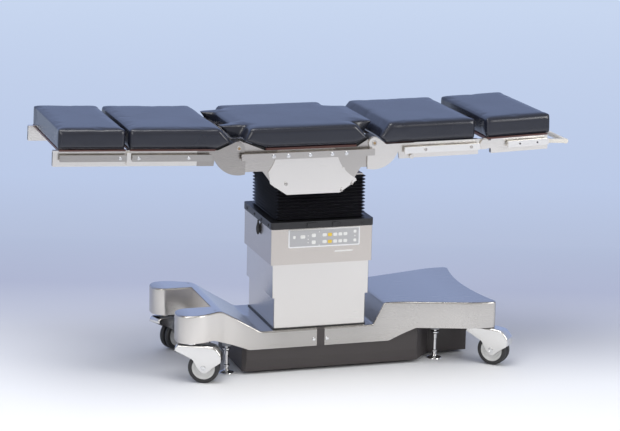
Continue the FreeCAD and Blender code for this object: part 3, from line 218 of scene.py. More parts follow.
def brightSteel(name):
    # Polished steel with faint smears.
    paint = Paint(name, Metallic=1.0)
    smear = paint.noise(polish["smears"], detail=4.0)
    paint.set("Base Color", smear.blendOf(polish["dark"], polish["light"]))
    paint.set("Roughness", smear * polish["spread"] + polish["roughness"])
    return paint.material


pad = {
    # dark cover colour with a painted blue sheen in it; the second colour is a lighter, bluer painted sheen
    "colour": (0.011, 0.013, 0.022), "paintedSheen": (0.016, 0.018, 0.029), "gloss": 0.62,
    "roughness": 0.24, "grain": 1500.0, "grainDepth": 0.00006, "grainStrength": 0.4,
    "clouds": 5.0, "cloudGloss": 0.10, "skinGloss": 0.06,
}


def padCover(name):
    # Smooth coated cover: a fine skin grain, soft clouds in its gloss and in its colour, where they mix in a
    # lighter painted blue sheen.
    paint = Paint(name, Coat_Weight=0.0, Specular_IOR_Level=pad["gloss"])
    skin = paint.noise(pad["grain"], detail=2.0)
    cloud = paint.noise(pad["clouds"])
    # painted sheen: clouds blend the dark cover colour towards a lighter, bluer painted sheen
    paint.set("Base Color", cloud.blendOf(pad["colour"], pad["paintedSheen"]))
    rough = (cloud - 0.5) * pad["cloudGloss"] + (skin - 0.5) * pad["skinGloss"]
    paint.set("Roughness", rough + pad["roughness"])
    paint.bump(skin, pad["grainDepth"], pad["grainStrength"])
    return paint.material


speckle = {"clouds": 6.0, "share": 0.5, "gloss": 0.1, "strength": 0.5}


def speckled(name, colour, other, roughness, scale=700.0, depth=0.00005, metallic=0.0):
    # Powder coat or moulded plastic: a fine speckle in colour, gloss and height.
    paint = Paint(name, Metallic=metallic)
    grain = paint.noise(scale, detail=2.0)
    cloud = paint.noise(speckle["clouds"])
    both = grain * speckle["share"] + cloud * speckle["share"]
    paint.set("Base Color", both.blendOf(colour, other))
    rough = (grain - 0.5) * speckle["gloss"] + (cloud - 0.5) * speckle["gloss"]
    paint.set("Roughness", rough + roughness)
    paint.bump(grain, depth, speckle["strength"])
    return paint.material


# Brushed steels: the way they are brushed, colour, darker colour, roughness, painted reflection stripes
steels = {
    "coverSteel": ("x",),
    # base cover steel, carrying the painted reflection stripes along the table
    "baseSteel": ("x", (0.78, 0.75, 0.71), (0.70, 0.67, 0.635), None, steel["paintedReflectionBands"]),
    # upper column cover: the cover steel darkened and warmed, painted shade and a painted warm reflection
    "upperSteelPaintedShade": ("x", (0.62, 0.575, 0.53), (0.54, 0.50, 0.46)),
    "plateSteel": ("x", (0.58, 0.55, 0.52), (0.50, 0.475, 0.445)),
    # hinge plate lobes: one steel in a shaded and a lit copy, painted shade on the leg side and painted
    # light on the back side
    "lobePaintedShade": ("x", (0.46, 0.435, 0.41), (0.39, 0.365, 0.34)),
    "lobePaintedLight": ("x", (0.82, 0.79, 0.75), (0.72, 0.69, 0.65)),
    # rails: one steel in a shaded and a lit copy, painted shade on the leg and extension rails and painted
    # light on the back and head rails
    "railPaintedShade": ("x", (0.50, 0.475, 0.45), (0.43, 0.41, 0.385)),
    "railPaintedLight": ("x", (0.95, 0.93, 0.90), (0.88, 0.86, 0.83)),
    "beamSteel": ("x", (0.86, 0.83, 0.785), (0.78, 0.75, 0.71)),
    "coverPlate": ("x", (0.82, 0.79, 0.75), (0.78, 0.75, 0.71)),
    "hoodSteel": ("z", (0.80, 0.79, 0.77), (0.74, 0.73, 0.71), 0.22),
    "keypadEdge": ("x", (0.82, 0.82, 0.81), (0.78, 0.78, 0.77), 0.30),
}
# Paints and plastics: colour, second colour, roughness, grain scale, grain depth, metal share
coats = {
    "skirtPaint": ((0.040, 0.034, 0.034), (0.060, 0.052, 0.052), 0.45),
    "framePaint": ((0.30, 0.31, 0.33), (0.36, 0.37, 0.39), 0.45),
    "blackPlastic": ((0.012, 0.012, 0.014), (0.022, 0.022, 0.025), 0.42),
    "bellowsRubber": ((0.008, 0.008, 0.011), (0.016, 0.016, 0.020), 0.31, 500.0),
    "tyreRubber": ((0.020, 0.020, 0.021), (0.034, 0.034, 0.035), 0.55, 400.0),
    "hubPlastic": ((0.58, 0.58, 0.57), (0.66, 0.66, 0.65), 0.40),
    "boardLaminate": ((0.075, 0.030, 0.026), (0.110, 0.046, 0.040), 0.42, 260.0),
    "barCoat": ((0.66, 0.63, 0.57), (0.72, 0.69, 0.63), 0.38, 500.0, 0.00002),
    "bronze": ((0.38, 0.27, 0.15), (0.46, 0.33, 0.19), 0.34, 500.0, 0.00001, 1.0),
    "keyWhite": ((0.72, 0.72, 0.70), (0.78, 0.78, 0.76), 0.4, 900.0, 0.00001),
    "keyYellow": ((0.72, 0.50, 0.06), (0.78, 0.55, 0.08), 0.4, 900.0, 0.00001),
    "keypadFoil": ((0.40, 0.40, 0.41), (0.46, 0.46, 0.47), 0.35, 900.0, 0.00002),
}
materials = {name: brushedSteel(name, *look) for name, look in steels.items()}
materials.update({name: speckled(name, *look) for name, look in coats.items()})
materials.update({"brightSteel": brightSteel("brightSteel"), "padCover": padCover("padCover")})
slotMaterials = {
    "brushed_steel": "coverSteel", "satin_steel": "plateSteel", "bright_steel": "brightSteel",
    "dark_paint": "skirtPaint", "frame_paint": "framePaint", "black_plastic": "blackPlastic",
    "seal_rubber": "blackPlastic", "bellows_rubber": "bellowsRubber", "keypad_foil": "keypadFoil",
    "pad_cover": "padCover", "tyre_rubber": "tyreRubber", "hub_plastic": "hubPlastic",
}
nodeMaterials = {
    "seat_board": "boardLaminate",
    # upper cover, hinge plates and rails take lit and shaded copies of one steel, with painted light and
    # shade in their colour
    "seat_cover_plates": "coverPlate", "column_upper_cover": "upperSteelPaintedShade", "head_release_bar": "barCoat",
    "leg_hinge_plates": "lobePaintedShade", "back_hinge_plates": "lobePaintedLight", "leg_rails": "railPaintedShade",
    "extension_rails": "railPaintedShade", "back_rails": "railPaintedLight", "head_rails": "railPaintedLight",
}
for sectionName in ("leg", "extension", "back", "head"):
    nodeMaterials[sectionName + "_beams"] = "beamSteel"
    nodeMaterials[sectionName + "_board"] = "boardLaminate"


def dressNodes():
    # Every carried-over solid takes the finish of its slot.
    slots = {entry["node"]: entry["material_slot"] for entry in frame["record"]["subparts"]}
    for name, solid in frame["nodes"].items():
        wanted = nodeMaterials.get(name, slotMaterials[slots[name]])
        solid.data.materials.clear()
        solid.data.materials.append(materials[wanted])


dressNodes()
print("stage: materials")


def newPiece(name, points, faces, material):
    # A mesh object from whole arrays of corners and faces, at the origin.
    mesh = bpy.data.meshes.new(name)
    mesh.from_pydata(np.asarray(points, float).tolist(), [], np.asarray(faces, int).tolist())
    mesh.update()
    piece = bpy.data.objects.new(name, mesh)
    bpy.context.scene.collection.objects.link(piece)
    mesh.materials.append(materials[material])
    return piece


def gridFaces(rows, columns, wrapRows=False, wrapColumns=False):
    # Four-cornered faces of a grid of points; a wrapped direction joins its last line to its first.
    rowCount = rows if wrapRows else rows - 1
    columnCount = columns if wrapColumns else columns - 1
    r, c = np.meshgrid(np.arange(rowCount), np.arange(columnCount), indexing="ij")
    r, c = r.ravel(), c.ravel()
    rNext, cNext = (r + 1) % rows, (c + 1) % columns
    return np.stack([r * columns + c, r * columns + cNext, rNext * columns + cNext, rNext * columns + c], 1)


def turnMatrix(centre, degrees):
    # A turn about a line across the table; positive lifts the head end.
    angle = math.radians(degrees)
    spin = Matrix.Rotation(angle, 4, Vector((0, -1, 0)))
    return Matrix.Translation(Vector(centre)) @ spin @ Matrix.Translation(-Vector(centre))


def addCamera():
    # A camera turned right and down from straight at the keypad side, then rolled.
    yaw, down, roll = (math.radians(camera[key]) for key in ("yaw", "down", "roll"))
    ahead = Vector((-math.sin(yaw) * math.cos(down), math.cos(yaw) * math.cos(down), -math.sin(down)))
    right = Vector((math.cos(yaw), math.sin(yaw), 0.0))
    upward = right.cross(ahead)
    sideways = math.cos(roll) * right + math.sin(roll) * upward
    upright = -math.sin(roll) * right + math.cos(roll) * upward
    eye = bpy.data.cameras.new("camera")
    eye.lens, eye.sensor_width, eye.sensor_fit = camera["lens"], camera["frame"], "HORIZONTAL"
    eye.clip_end = camera["far"]
    viewer = bpy.data.objects.new("camera", eye)
    bpy.context.scene.collection.objects.link(viewer)
    basis = Matrix((sideways, upright, -ahead)).transposed().to_4x4()
    viewer.matrix_world = Matrix.Translation(Vector(camera["place"])) @ basis
    bpy.context.scene.camera = viewer


def addLamps():
    # Rectangular lamps, each turned to its aim.
    for name, (place, aim, width, depth, watts) in lamps.items():
        light = bpy.data.lights.new(name, "AREA")
        light.shape, light.size, light.size_y, light.energy = "RECTANGLE", width, depth, watts
        lamp = bpy.data.objects.new(name, light)
        bpy.context.scene.collection.objects.link(lamp)
        turn = (Vector(aim) - Vector(place)).to_track_quat("-Z", "Y").to_matrix().to_4x4()
        lamp.matrix_world = Matrix.Translation(Vector(place)) @ turn


def addStage():
    # A pale floor whose colour follows the distance from the camera and that glows by itself far
    # away, under a sky that is warm in front, blue behind and pale above.
    reach = stage["reach"]
    corners = [(-reach, -reach, 0), (reach, -reach, 0), (reach, reach, 0), (-reach, reach, 0)]
    paint = Paint("floorPaint", Roughness=stage["roughness"], Specular_IOR_Level=stage["gloss"])
    where = paint.node("ShaderNodeTexCoord", output=3)
    along = paint.node("ShaderNodeVectorMath", {"operation": "DOT_PRODUCT"}, [where, stage["heading"]], 1)
    near, far = stage["near"], stage["far"]
    distance = along + stage["eye"]
    stops = [((place - near) / (far - near), colour) for place, colour in stage["backdrop"]]
    colour = paint.node("ShaderNodeValToRGB", {"stops": stops}, [(distance - near) / (far - near)])
    glow = paint.node("ShaderNodeEmission", {}, [colour])
    paint.set("Base Color", colour)
    share = distance.above(*stage["fade"])
    shader = Wire(paint, paint.shader.outputs[0])
    mixed = paint.node("ShaderNodeMixShader", {}, [share, shader, glow])
    output = next(n for n in paint.tree.nodes if n.type == "OUTPUT_MATERIAL")
    paint.put(output.inputs["Surface"], mixed)
    materials["floorPaint"] = paint.material
    newPiece("floor", corners, [(0, 1, 2, 3)], "floorPaint")
    world = bpy.data.worlds.new("studio")
    bpy.context.scene.world = world
    world.use_nodes = True
    tree = world.node_tree
    tree.nodes.clear()
    sky = Paint.__new__(Paint)
    sky.tree = tree
    towards = sky.node("ShaderNodeTexCoord", output=0)
    back = sky.node("ShaderNodeSeparateXYZ", {}, [towards], output=1)
    height = sky.node("ShaderNodeSeparateXYZ", {}, [towards], output=2)
    side = back.above(*stage["backFrom"]).blendOf(stage["front"], stage["back"])
    colour = height.above(*stage["aboveFrom"]).blendOf(side, stage["above"])
    light = sky.node("ShaderNodeBackground", {}, {"Color": colour, "Strength": stage["strength"]})
    final = tree.nodes.new("ShaderNodeOutputWorld")
    tree.links.new(light.socket, final.inputs["Surface"])
    bpy.context.scene.view_settings.view_transform = "Standard"


addCamera()
addLamps()
addStage()
print("stage: camera and light")

# Measures of the table top in mm, counted from the middle of the pads before the frame shift
top = {
    "shift": -28.3446, "surface": 1006.0, "seat": 928.0, "half": 270.0,
    "legPivot": (-297.0, 933.0), "backPivot": (251.0, 933.0), "headPivot": (716.0, 905.0),
    "legAngle": -2.05, "backAngle": 0.62, "headAngle": 1.44,
}
cushion = {
    "voxel": 0.0075, "pressure": 4.0, "cap": 0.005, "frames": 20, "smooth": 6, "fill": 0.85,
    "quality": 4, "mass": 0.3, "edge": 0.012, "edgeDraw": 0.8,
    "sideSteps": 8, "stations": 16, "endStations": 6, "nearEdge": (-36, 6, 22),
}


def worldPoint(x, y, z):
    # A place in table mm as metres in the frame.
    return ((x + top["shift"]) * mm, y * mm, z * mm)


def sectionTurn(section):
    # The rest turn of a section of the table top.
    if section == "leg":
        return turnMatrix(worldPoint(top["legPivot"][0], 0, top["legPivot"][1]), top["legAngle"])
    if section in ("back", "head"):
        turn = turnMatrix(worldPoint(top["backPivot"][0], 0, top["backPivot"][1]), top["backAngle"])
        if section == "head":
            pivot = worldPoint(top["headPivot"][0], 0, top["headPivot"][1])
            turn = turn @ turnMatrix(pivot, top["headAngle"])
        return turn
    return Matrix.Identity(4)


def paddedBlock(name, outlineAt, stations):
    # A closed block: at each station across the table an outline of the side view, its sides cut
    # into even steps; the first and last stations shrink towards the middle along a quarter round.
    rings = []
    density, edge = cushion["sideSteps"], cushion["edge"] / mm
    for y in stations:
        corners = np.array(outlineAt(abs(y)), float)
        inset = max(0.0, abs(y) - (top["half"] - edge))
        drop = edge - math.sqrt(max(0.0, edge ** 2 - inset ** 2))
        middle = (corners.min(0) + corners.max(0)) / 2
        reach = (corners.max(0) - corners.min(0)) / 2
        corners = middle + (corners - middle) * (1 - drop * cushion["edgeDraw"] / reach)
        nextOnes = np.roll(corners, -1, 0)
        share = (np.arange(density) / density)[None, :, None]
        ring = (corners[:, None] * (1 - share) + nextOnes[:, None] * share).reshape(-1, 2)
        rings.append(np.stack([ring[:, 0], np.full(len(ring), y), ring[:, 1]], 1))
    points = np.concatenate(rings)
    count = len(rings[0])
    faces = gridFaces(len(rings), count, wrapColumns=True).tolist()
    faces += [list(range(count)), list(range(len(points) - 1, len(points) - 1 - count, -1))]
    points[:, 0] += top["shift"]
    mesh = bpy.data.meshes.new(name)
    mesh.from_pydata((points * mm).tolist(), [], faces)
    block = bpy.data.objects.new(name, mesh)
    bpy.context.scene.collection.objects.link(block)
    return block


def applied(piece):
    # The mesh with its modifiers, as arrays put back on the same object.
    graph = bpy.context.evaluated_depsgraph_get()
    finished = bpy.data.meshes.new_from_object(piece.evaluated_get(graph))
    piece.modifiers.clear()
    piece.data = finished
    return piece


def cornersOf(mesh):
    # The places of a mesh's corners as an array.
    flat = np.empty(len(mesh.vertices) * 3, np.float32)
    mesh.vertices.foreach_get("co", flat)
    return flat.reshape(-1, 3).astype(float)


def inflate(piece, floorLevel):
    # Cloth filled by a little pressure; no point moves further than the cap or below its board.
    remesh = piece.modifiers.new("even", "REMESH")
    remesh.mode, remesh.voxel_size = "VOXEL", cushion["voxel"]
    soft = piece.modifiers.new("soften", "SMOOTH")
    soft.factor, soft.iterations = 0.5, cushion["smooth"]
    applied(piece)
    start = cornersOf(piece.data)
    cloth = piece.modifiers.new("cloth", "CLOTH")
    cloth.settings.quality = cushion["quality"]
    cloth.settings.mass = cushion["mass"]
    cloth.settings.use_pressure = True
    cloth.settings.uniform_pressure_force = cushion["pressure"]
    cloth.settings.effector_weights.gravity = 0.0
    cloth.point_cache.frame_start, cloth.point_cache.frame_end = 1, cushion["frames"]
    for step in range(1, cushion["frames"] + 1):
        bpy.context.scene.frame_set(step)
    graph = bpy.context.evaluated_depsgraph_get()
    swollen = cornersOf(piece.evaluated_get(graph).data)
    piece.modifiers.clear()
    move = swollen - start
    length = np.linalg.norm(move, axis=1, keepdims=True)
    start = start + move * np.minimum(1.0, cushion["cap"] / np.maximum(length, 1e-9))
    bpy.context.scene.frame_set(1)
    start[:, 2] = np.maximum(start[:, 2], floorLevel)
    piece.data.vertices.foreach_set("co", start.astype(np.float32).ravel())
    finer = piece.modifiers.new("finer", "SUBSURF")
    finer.levels = finer.render_levels = 1
    return applied(piece)


def finishPad(piece, section, body, nodes):
    # Gives a pad its section's turn, its finish and its place in the frame.
    piece.data.transform(sectionTurn(section))
    piece.data.materials.clear()
    piece.data.materials.append(materials["padCover"])
    piece.data.polygons.foreach_set("use_smooth", [True] * len(piece.data.polygons))
    if body:
        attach(piece, body)
    if nodes:
        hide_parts(*nodes)


# Side outlines of the pads in mm as x and z: top edge, nose, heel and so on round the block
padTop, padFloor = top["surface"], top["seat"]
padOutlines = {
    "extensionPad": ("leg", "leg_extension", ["extension_pad"],
                     [(-1000, padTop), (-1000, padFloor), (-737, padFloor), (-737, padTop)]),
    "legPad": ("leg", "leg_section", ["leg_pad"],
               [(-729, padTop), (-729, padFloor), (-380, padFloor), (-320, 955), (-366, padTop)]),
    "backPad": ("back", "back_section", ["back_pad"],
                [(314, padTop), (271, 952), (300, padFloor), (678, padFloor), (678, padTop)]),
    "headPad": ("head", "head_section", ["head_pad"],
                [(721, padTop), (721, padFloor), (1000, padFloor), (1000, padTop)]),
}
seatShape = {
    "wideLeft": [(-247, padTop), (-274, 959), (-268, 956), (-186, padFloor)],
    "tongueLeft": [(-350, padTop), (-310, 953), (-256, 953), (-186, padFloor)],
    "notchLeft": [(-300, padTop), (-300, 953), (-256, 953), (-186, padFloor)],
    "wideRight": [(180, padFloor), (224, 950), (230, 953), (182, padTop)],
    "tongueRight": [(180, padFloor), (224, 953), (239, 953), (279, padTop)],
    "tongueHalf": 185.0, "notchHalf": 115.0, "soft": 14.0, "notchOut": 1.6, "notchSpan": 2.2,
    "level": 960.0,
}
notchEdge = seatShape["notchHalf"] + seatShape["soft"] * seatShape["notchOut"]


def shareAt(y, edge, soft):
    # 0 inside an edge across the table and 1 outside it, along a half cosine.
    share = min(1.0, max(0.0, (y - edge + soft) / soft))
    return 0.5 - 0.5 * math.cos(math.pi * share)


def seatOutline(y):
    # The seat's side outline at a distance from the middle: wide edge, tongue or notch.
    out = shareAt(y, seatShape["tongueHalf"], seatShape["soft"])
    notch = 1 - shareAt(y, notchEdge, seatShape["soft"] * seatShape["notchSpan"])
    wide, tongue, cut = (np.array(seatShape[key], float)
                         for key in ("wideLeft", "tongueLeft", "notchLeft"))
    left = wide * out + (tongue * (1 - notch) + cut * notch) * (1 - out)
    right = np.array(seatShape["wideRight"]) * out + np.array(seatShape["tongueRight"]) * (1 - out)
    return np.concatenate([left, right])


def padStations(extra=()):
    # Places across the table: closer together near the two ends and near the extra edges.
    half, edge = top["half"], cushion["edge"] / mm
    ends = half - edge * (1 - np.sin(np.linspace(0, math.pi / 2, cushion["endStations"])))
    places = set(np.linspace(0, half - edge, cushion["stations"]).round(3)) | set(ends.round(3))
    for place in extra:
        places |= set((place + np.linspace(*cushion["nearEdge"])).round(3))
    places = sorted(p for p in places if 0 <= p <= half)
    return [-p for p in reversed(places) if p > 0] + places


def addPads():
    # Four pads by themselves, then the seat made in one and cut into its middle and two tongues.
    for name, (section, body, nodes, outline) in padOutlines.items():
        block = paddedBlock(name, lambda y, o=outline: o, padStations())
        inflate(block, top["seat"] * mm)
        finishPad(block, section, body, nodes)
        print("stage:", name)
    stations = padStations((seatShape["tongueHalf"], notchEdge))
    whole = paddedBlock("wholeSeat", seatOutline, stations)
    inflate(whole, top["seat"] * mm)
    root = seatShape["wideLeft"][0][0], seatShape["wideRight"][3][0]
    parts = (("seatPad", None, None, ["seat_pad"]),
             ("seatTongueLeg", "leg_section", (root[0], seatShape["tongueLeft"][0][0]),
              ["seat_tongue_leg"]),
             ("seatTongueBack", "back_section", (root[1], seatShape["tongueRight"][3][0]),
              ["seat_tongue_back"]))
    for name, follower, span, nodes in parts:
        part = whole.copy()
        part.data = whole.data.copy()
        part.name = name
        bpy.context.scene.collection.objects.link(part)
        if span is None:
            cutAt(part, root[0], -1.0)
            cutAt(part, root[1], 1.0)
        else:
            cutAt(part, span[0], math.copysign(1.0, span[0] - span[1]))
        finishPad(part, "seat", None if span else "seat", nodes)
        if span:
            worldPoint(span[0], 0, seatShape["level"])
            worldPoint(span[1], 0, seatShape["level"])
            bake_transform(part)
    bpy.data.objects.remove(whole)
    print("stage: seat pad")


def cutAt(piece, x, side):
    # Keeps the part of a mesh on one side of an upright plane and closes the cut with a flat face.
    work = bmesh.new()
    work.from_mesh(piece.data)
    everything = work.verts[:] + work.edges[:] + work.faces[:]
    made = bmesh.ops.bisect_plane(work, geom=everything, plane_co=worldPoint(x, 0, 0),
                                  plane_no=(side, 0, 0), clear_outer=True)
    rim = [edge for edge in made["geom_cut"] if isinstance(edge, bmesh.types.BMEdge)]
    bmesh.ops.holes_fill(work, edges=rim, sides=0)
    for edge in rim:
        edge.smooth = False
    work.to_mesh(piece.data)
    work.free()


addPads()


def roundedPath(corners, radii, closed=False, steps=7):
    # A line through corners with arcs of the given radii; an open line keeps its two end points.
    corners = np.array(corners, float)
    count = len(corners)
    parts = []
    for index in range(count):
        here, radius = corners[index], radii[index]
        if radius <= 0 or (not closed and index in (0, count - 1)):
            parts.append(here[None])
            continue
        back = corners[index - 1] - here
        ahead = corners[(index + 1) % count] - here
        back, ahead = back / np.linalg.norm(back), ahead / np.linalg.norm(ahead)
        half = math.acos(max(-1.0, min(1.0, float(back @ ahead)))) / 2
        middle = here + (back + ahead) / np.linalg.norm(back + ahead) * radius / math.sin(half)
        first = here + back * radius / math.tan(half) - middle
        last = here + ahead * radius / math.tan(half) - middle
        sweep = math.pi - 2 * half
        share = np.linspace(0, 1, steps)[:, None]
        parts.append(middle + (np.sin((1 - share) * sweep) * first + np.sin(share * sweep) * last)
                     / math.sin(sweep))
    return np.concatenate(parts)


def spaced(path, count):
    # The same open line as evenly spaced points.
    lengths = np.concatenate([[0], np.cumsum(np.linalg.norm(np.diff(path, axis=0), axis=1))])
    places = np.linspace(0, lengths[-1], count)
    return np.stack([np.interp(places, lengths, path[:, axis]) for axis in range(path.shape[1])], 1)


def outward(outline):
    # At each point of a closed line in the plane, the way out that keeps both sides' distance.
    edge = np.roll(outline, -1, 0) - outline
    edge = edge / np.maximum(np.linalg.norm(edge, axis=1, keepdims=True), 1e-9)
    normal = np.stack([edge[:, 1], -edge[:, 0]], 1)
    before = np.roll(normal, 1, 0)
    both = (normal + before) / (1 + np.sum(normal * before, 1, keepdims=True)).clip(0.3)
    area = np.sum(outline[:, 0] * np.roll(outline[:, 1], -1) - np.roll(outline[:, 0], -1) * outline[:, 1])
    return both * (1 if area > 0 else -1)


def sweepFaces(rows, columns):
    # A closed cross-section carried along, with a flat face at both ends.
    faces = gridFaces(rows, columns, wrapColumns=True).tolist()
    return faces + [list(range(columns)), list(range(rows * columns - 1, (rows - 1) * columns - 1, -1))]


def slab(outline, low, high, bevel, steps=2):
    # A flat piece from an outline in the side view, between two distances across the table: its two
    # rims are quarter rounds of the bevel.
    outline = np.array(outline, float)
    normal = outward(outline)
    angles = np.linspace(0, math.pi / 2, steps + 1)
    stairs = [(-bevel * (1 - math.sin(a)), low + bevel * (1 - math.cos(a))) for a in angles]
    stairs += [(out, low + high - level) for out, level in reversed(stairs)]
    rings = np.zeros((len(stairs), len(outline), 3))
    for ring, (out, level) in zip(rings, stairs):
        flat = outline + normal * out
        ring[:, 0], ring[:, 2], ring[:, 1] = flat[:, 0], flat[:, 1], level
    return rings.reshape(-1, 3), sweepFaces(*rings.shape[:2])


def lathe(profile, axis="z", at=(0.0, 0.0, 0.0), turns=28, closed=False):
    # A profile of radius and height turned about an axis; a closed profile makes a ring.
    profile = np.array(profile, float)
    angles = np.linspace(0, 2 * math.pi, turns, endpoint=False)[:, None]
    across, along = "xyz".replace(axis, ""), "xyz".index(axis)
    points = np.zeros((turns, len(profile), 3))
    points[:, :, "xyz".index(across[0])] = np.cos(angles) * profile[:, 0]
    points[:, :, "xyz".index(across[1])] = np.sin(angles) * profile[:, 0]
    points[:, :, along] = profile[:, 1]
    faces = gridFaces(turns, len(profile), wrapRows=True, wrapColumns=closed).tolist()
    return points.reshape(-1, 3) + np.array(at, float), faces


def headOn(profile, at, turns, axis="y"):
    # A screw head or stud turned about an axis, whose profile grows to the near side or the left.
    return lathe([(radius, -out) for radius, out in profile], axis, at, turns)


def joined(parts):
    # Several pairs of points and faces as one.
    points, faces, start = [], [], 0
    for somePoints, someFaces in parts:
        points.append(somePoints)
        faces += [[corner + start for corner in face] for face in someFaces]
        start += len(somePoints)
    return np.concatenate(points), faces


def bothSides(part):
    # The part and its mirror image on the other side of the table.
    points, faces = part
    return joined([part, (points * (1, -1, 1), faces)])


def placed(part, turn=0.0, move=(0.0, 0.0, 0.0)):
    # The part turned about the upright axis and then moved, in mm.
    points, faces = part
    angle = math.radians(turn)
    cosine, sine = math.cos(angle), math.sin(angle)
    spin = np.array([[cosine, -sine, 0], [sine, cosine, 0], [0, 0, 1]])
    return points @ spin.T + np.array(move, float), faces


def addPart(name, part, material, body, replaced=(), section=None, crease=32.0):
    # Makes one finished piece from a part in table mm, on its section's rest turn.
    points, faces = part
    points = points.copy()
    points[:, 0] += top["shift"]
    mesh = bpy.data.meshes.new(name)
    mesh.from_pydata((points * mm).tolist(), [], faces)
    work = bmesh.new()
    work.from_mesh(mesh)
    bmesh.ops.remove_doubles(work, verts=work.verts, dist=0.00001)
    bmesh.ops.recalc_face_normals(work, faces=work.faces)
    work.to_mesh(mesh)
    work.free()
    mesh.polygons.foreach_set("use_smooth", [True] * len(mesh.polygons))
    mesh.set_sharp_from_angle(angle=math.radians(crease))
    mesh.transform(sectionTurn(section))
    mesh.materials.append(materials[material])
    piece = bpy.data.objects.new(name, mesh)
    bpy.context.scene.collection.objects.link(piece)
    if body:
        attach(piece, body)
    if replaced:
        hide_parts(*replaced)
    return piece


# The folded base cover: plan of one half, side line of its top and line of its lower edge
base = {
    "outer": [(-530, 200), (-530, 278), (-440, 278), (-300, 205), (400, 205), (700, 292), (791, 292),
              (791, 200)],
    "outerRounds": [0, 52, 130, 220, 300, 300, 25, 0],
    "inner": [(-530, 240), (-530, 150), (-370, 150)], "innerRounds": [0, 52, 0],
    "top": [(-560, 280), (-350, 280), (-180, 178), (289, 178), (333, 265), (820, 265)],
    "topRounds": [0, 70, 45, 10, 16, 0],
    "low": [(-560, 169), (-387, 169), (-226, 106), (357, 106), (464, 157), (820, 157)],
    "lowRounds": [0, 20, 25, 25, 20, 0],
    "edge": 7.0, "wall": 3.0, "hollow": 41.0, "half": 292.0, "right": 791.0, "hollowFrom": 600.0,
    "tip": -530.0, "tipRound": 52.0, "root": -370.0, "rootInner": 150.0, "endRound": 25.0,
    "armColumns": 9, "rows": 56, "turns": 14,
}


def alongBase(kind):
    # Height of the top or the lower edge at places along the base.
    line = roundedPath(base[kind], base[kind + "Rounds"])
    return lambda x: np.interp(x, line[:, 0], line[:, 1])


def baseSheet():
    # Plan of the cover as three grids that share their seams: two arms and the rest; rows run along
    # the table and columns across it, and the outermost points of all rows lie on the rounded plan.
    outerLine = roundedPath(base["outer"], base["outerRounds"], steps=base["turns"])[1:-1]
    innerLine = roundedPath(base["inner"], base["innerRounds"], steps=base["turns"])[1:]
    root, tip, right, inner = base["root"], base["tip"], base["right"], base["rootInner"]
    end, tipRound, across = base["endRound"], base["tipRound"], base["armColumns"]
    bends = np.concatenate([roundedPath(base[k], base[k + "Rounds"])[1:-1, 0] for k in ("top", "low")])
    rounded = right - end + end * np.sin(np.linspace(0, math.pi / 2, 7))
    rows = np.unique(np.concatenate([np.linspace(root, right - end, base["rows"]), rounded, bends]).round(3))
    rows = rows[(rows >= root) & (rows <= right)]
    arms = np.concatenate([tip + tipRound * (1 - np.cos(np.linspace(0, math.pi / 2, 12))),
                           np.linspace(tip + tipRound, root, 12)[1:]])
    armShare = np.linspace(0, 1, across)
    rowHalf = np.interp(rows, outerLine[:, 0], outerLine[:, 1])
    armColumns = inner + (rowHalf[0] - inner) * armShare
    middle = np.linspace(-inner, inner, 13)[1:-1]
    columns = np.concatenate([-armColumns[::-1], middle, armColumns]) / rowHalf[0]
    body = np.stack([np.repeat(rows[:, None], len(columns), 1), rowHalf[:, None] * columns], 2)
    low, high = (np.interp(arms, line[:, 0], line[:, 1])[:, None] for line in (innerLine, outerLine))
    arm = np.stack([np.repeat(arms[:, None], across, 1), low + (high - low) * armShare], 2)
    return body, arm


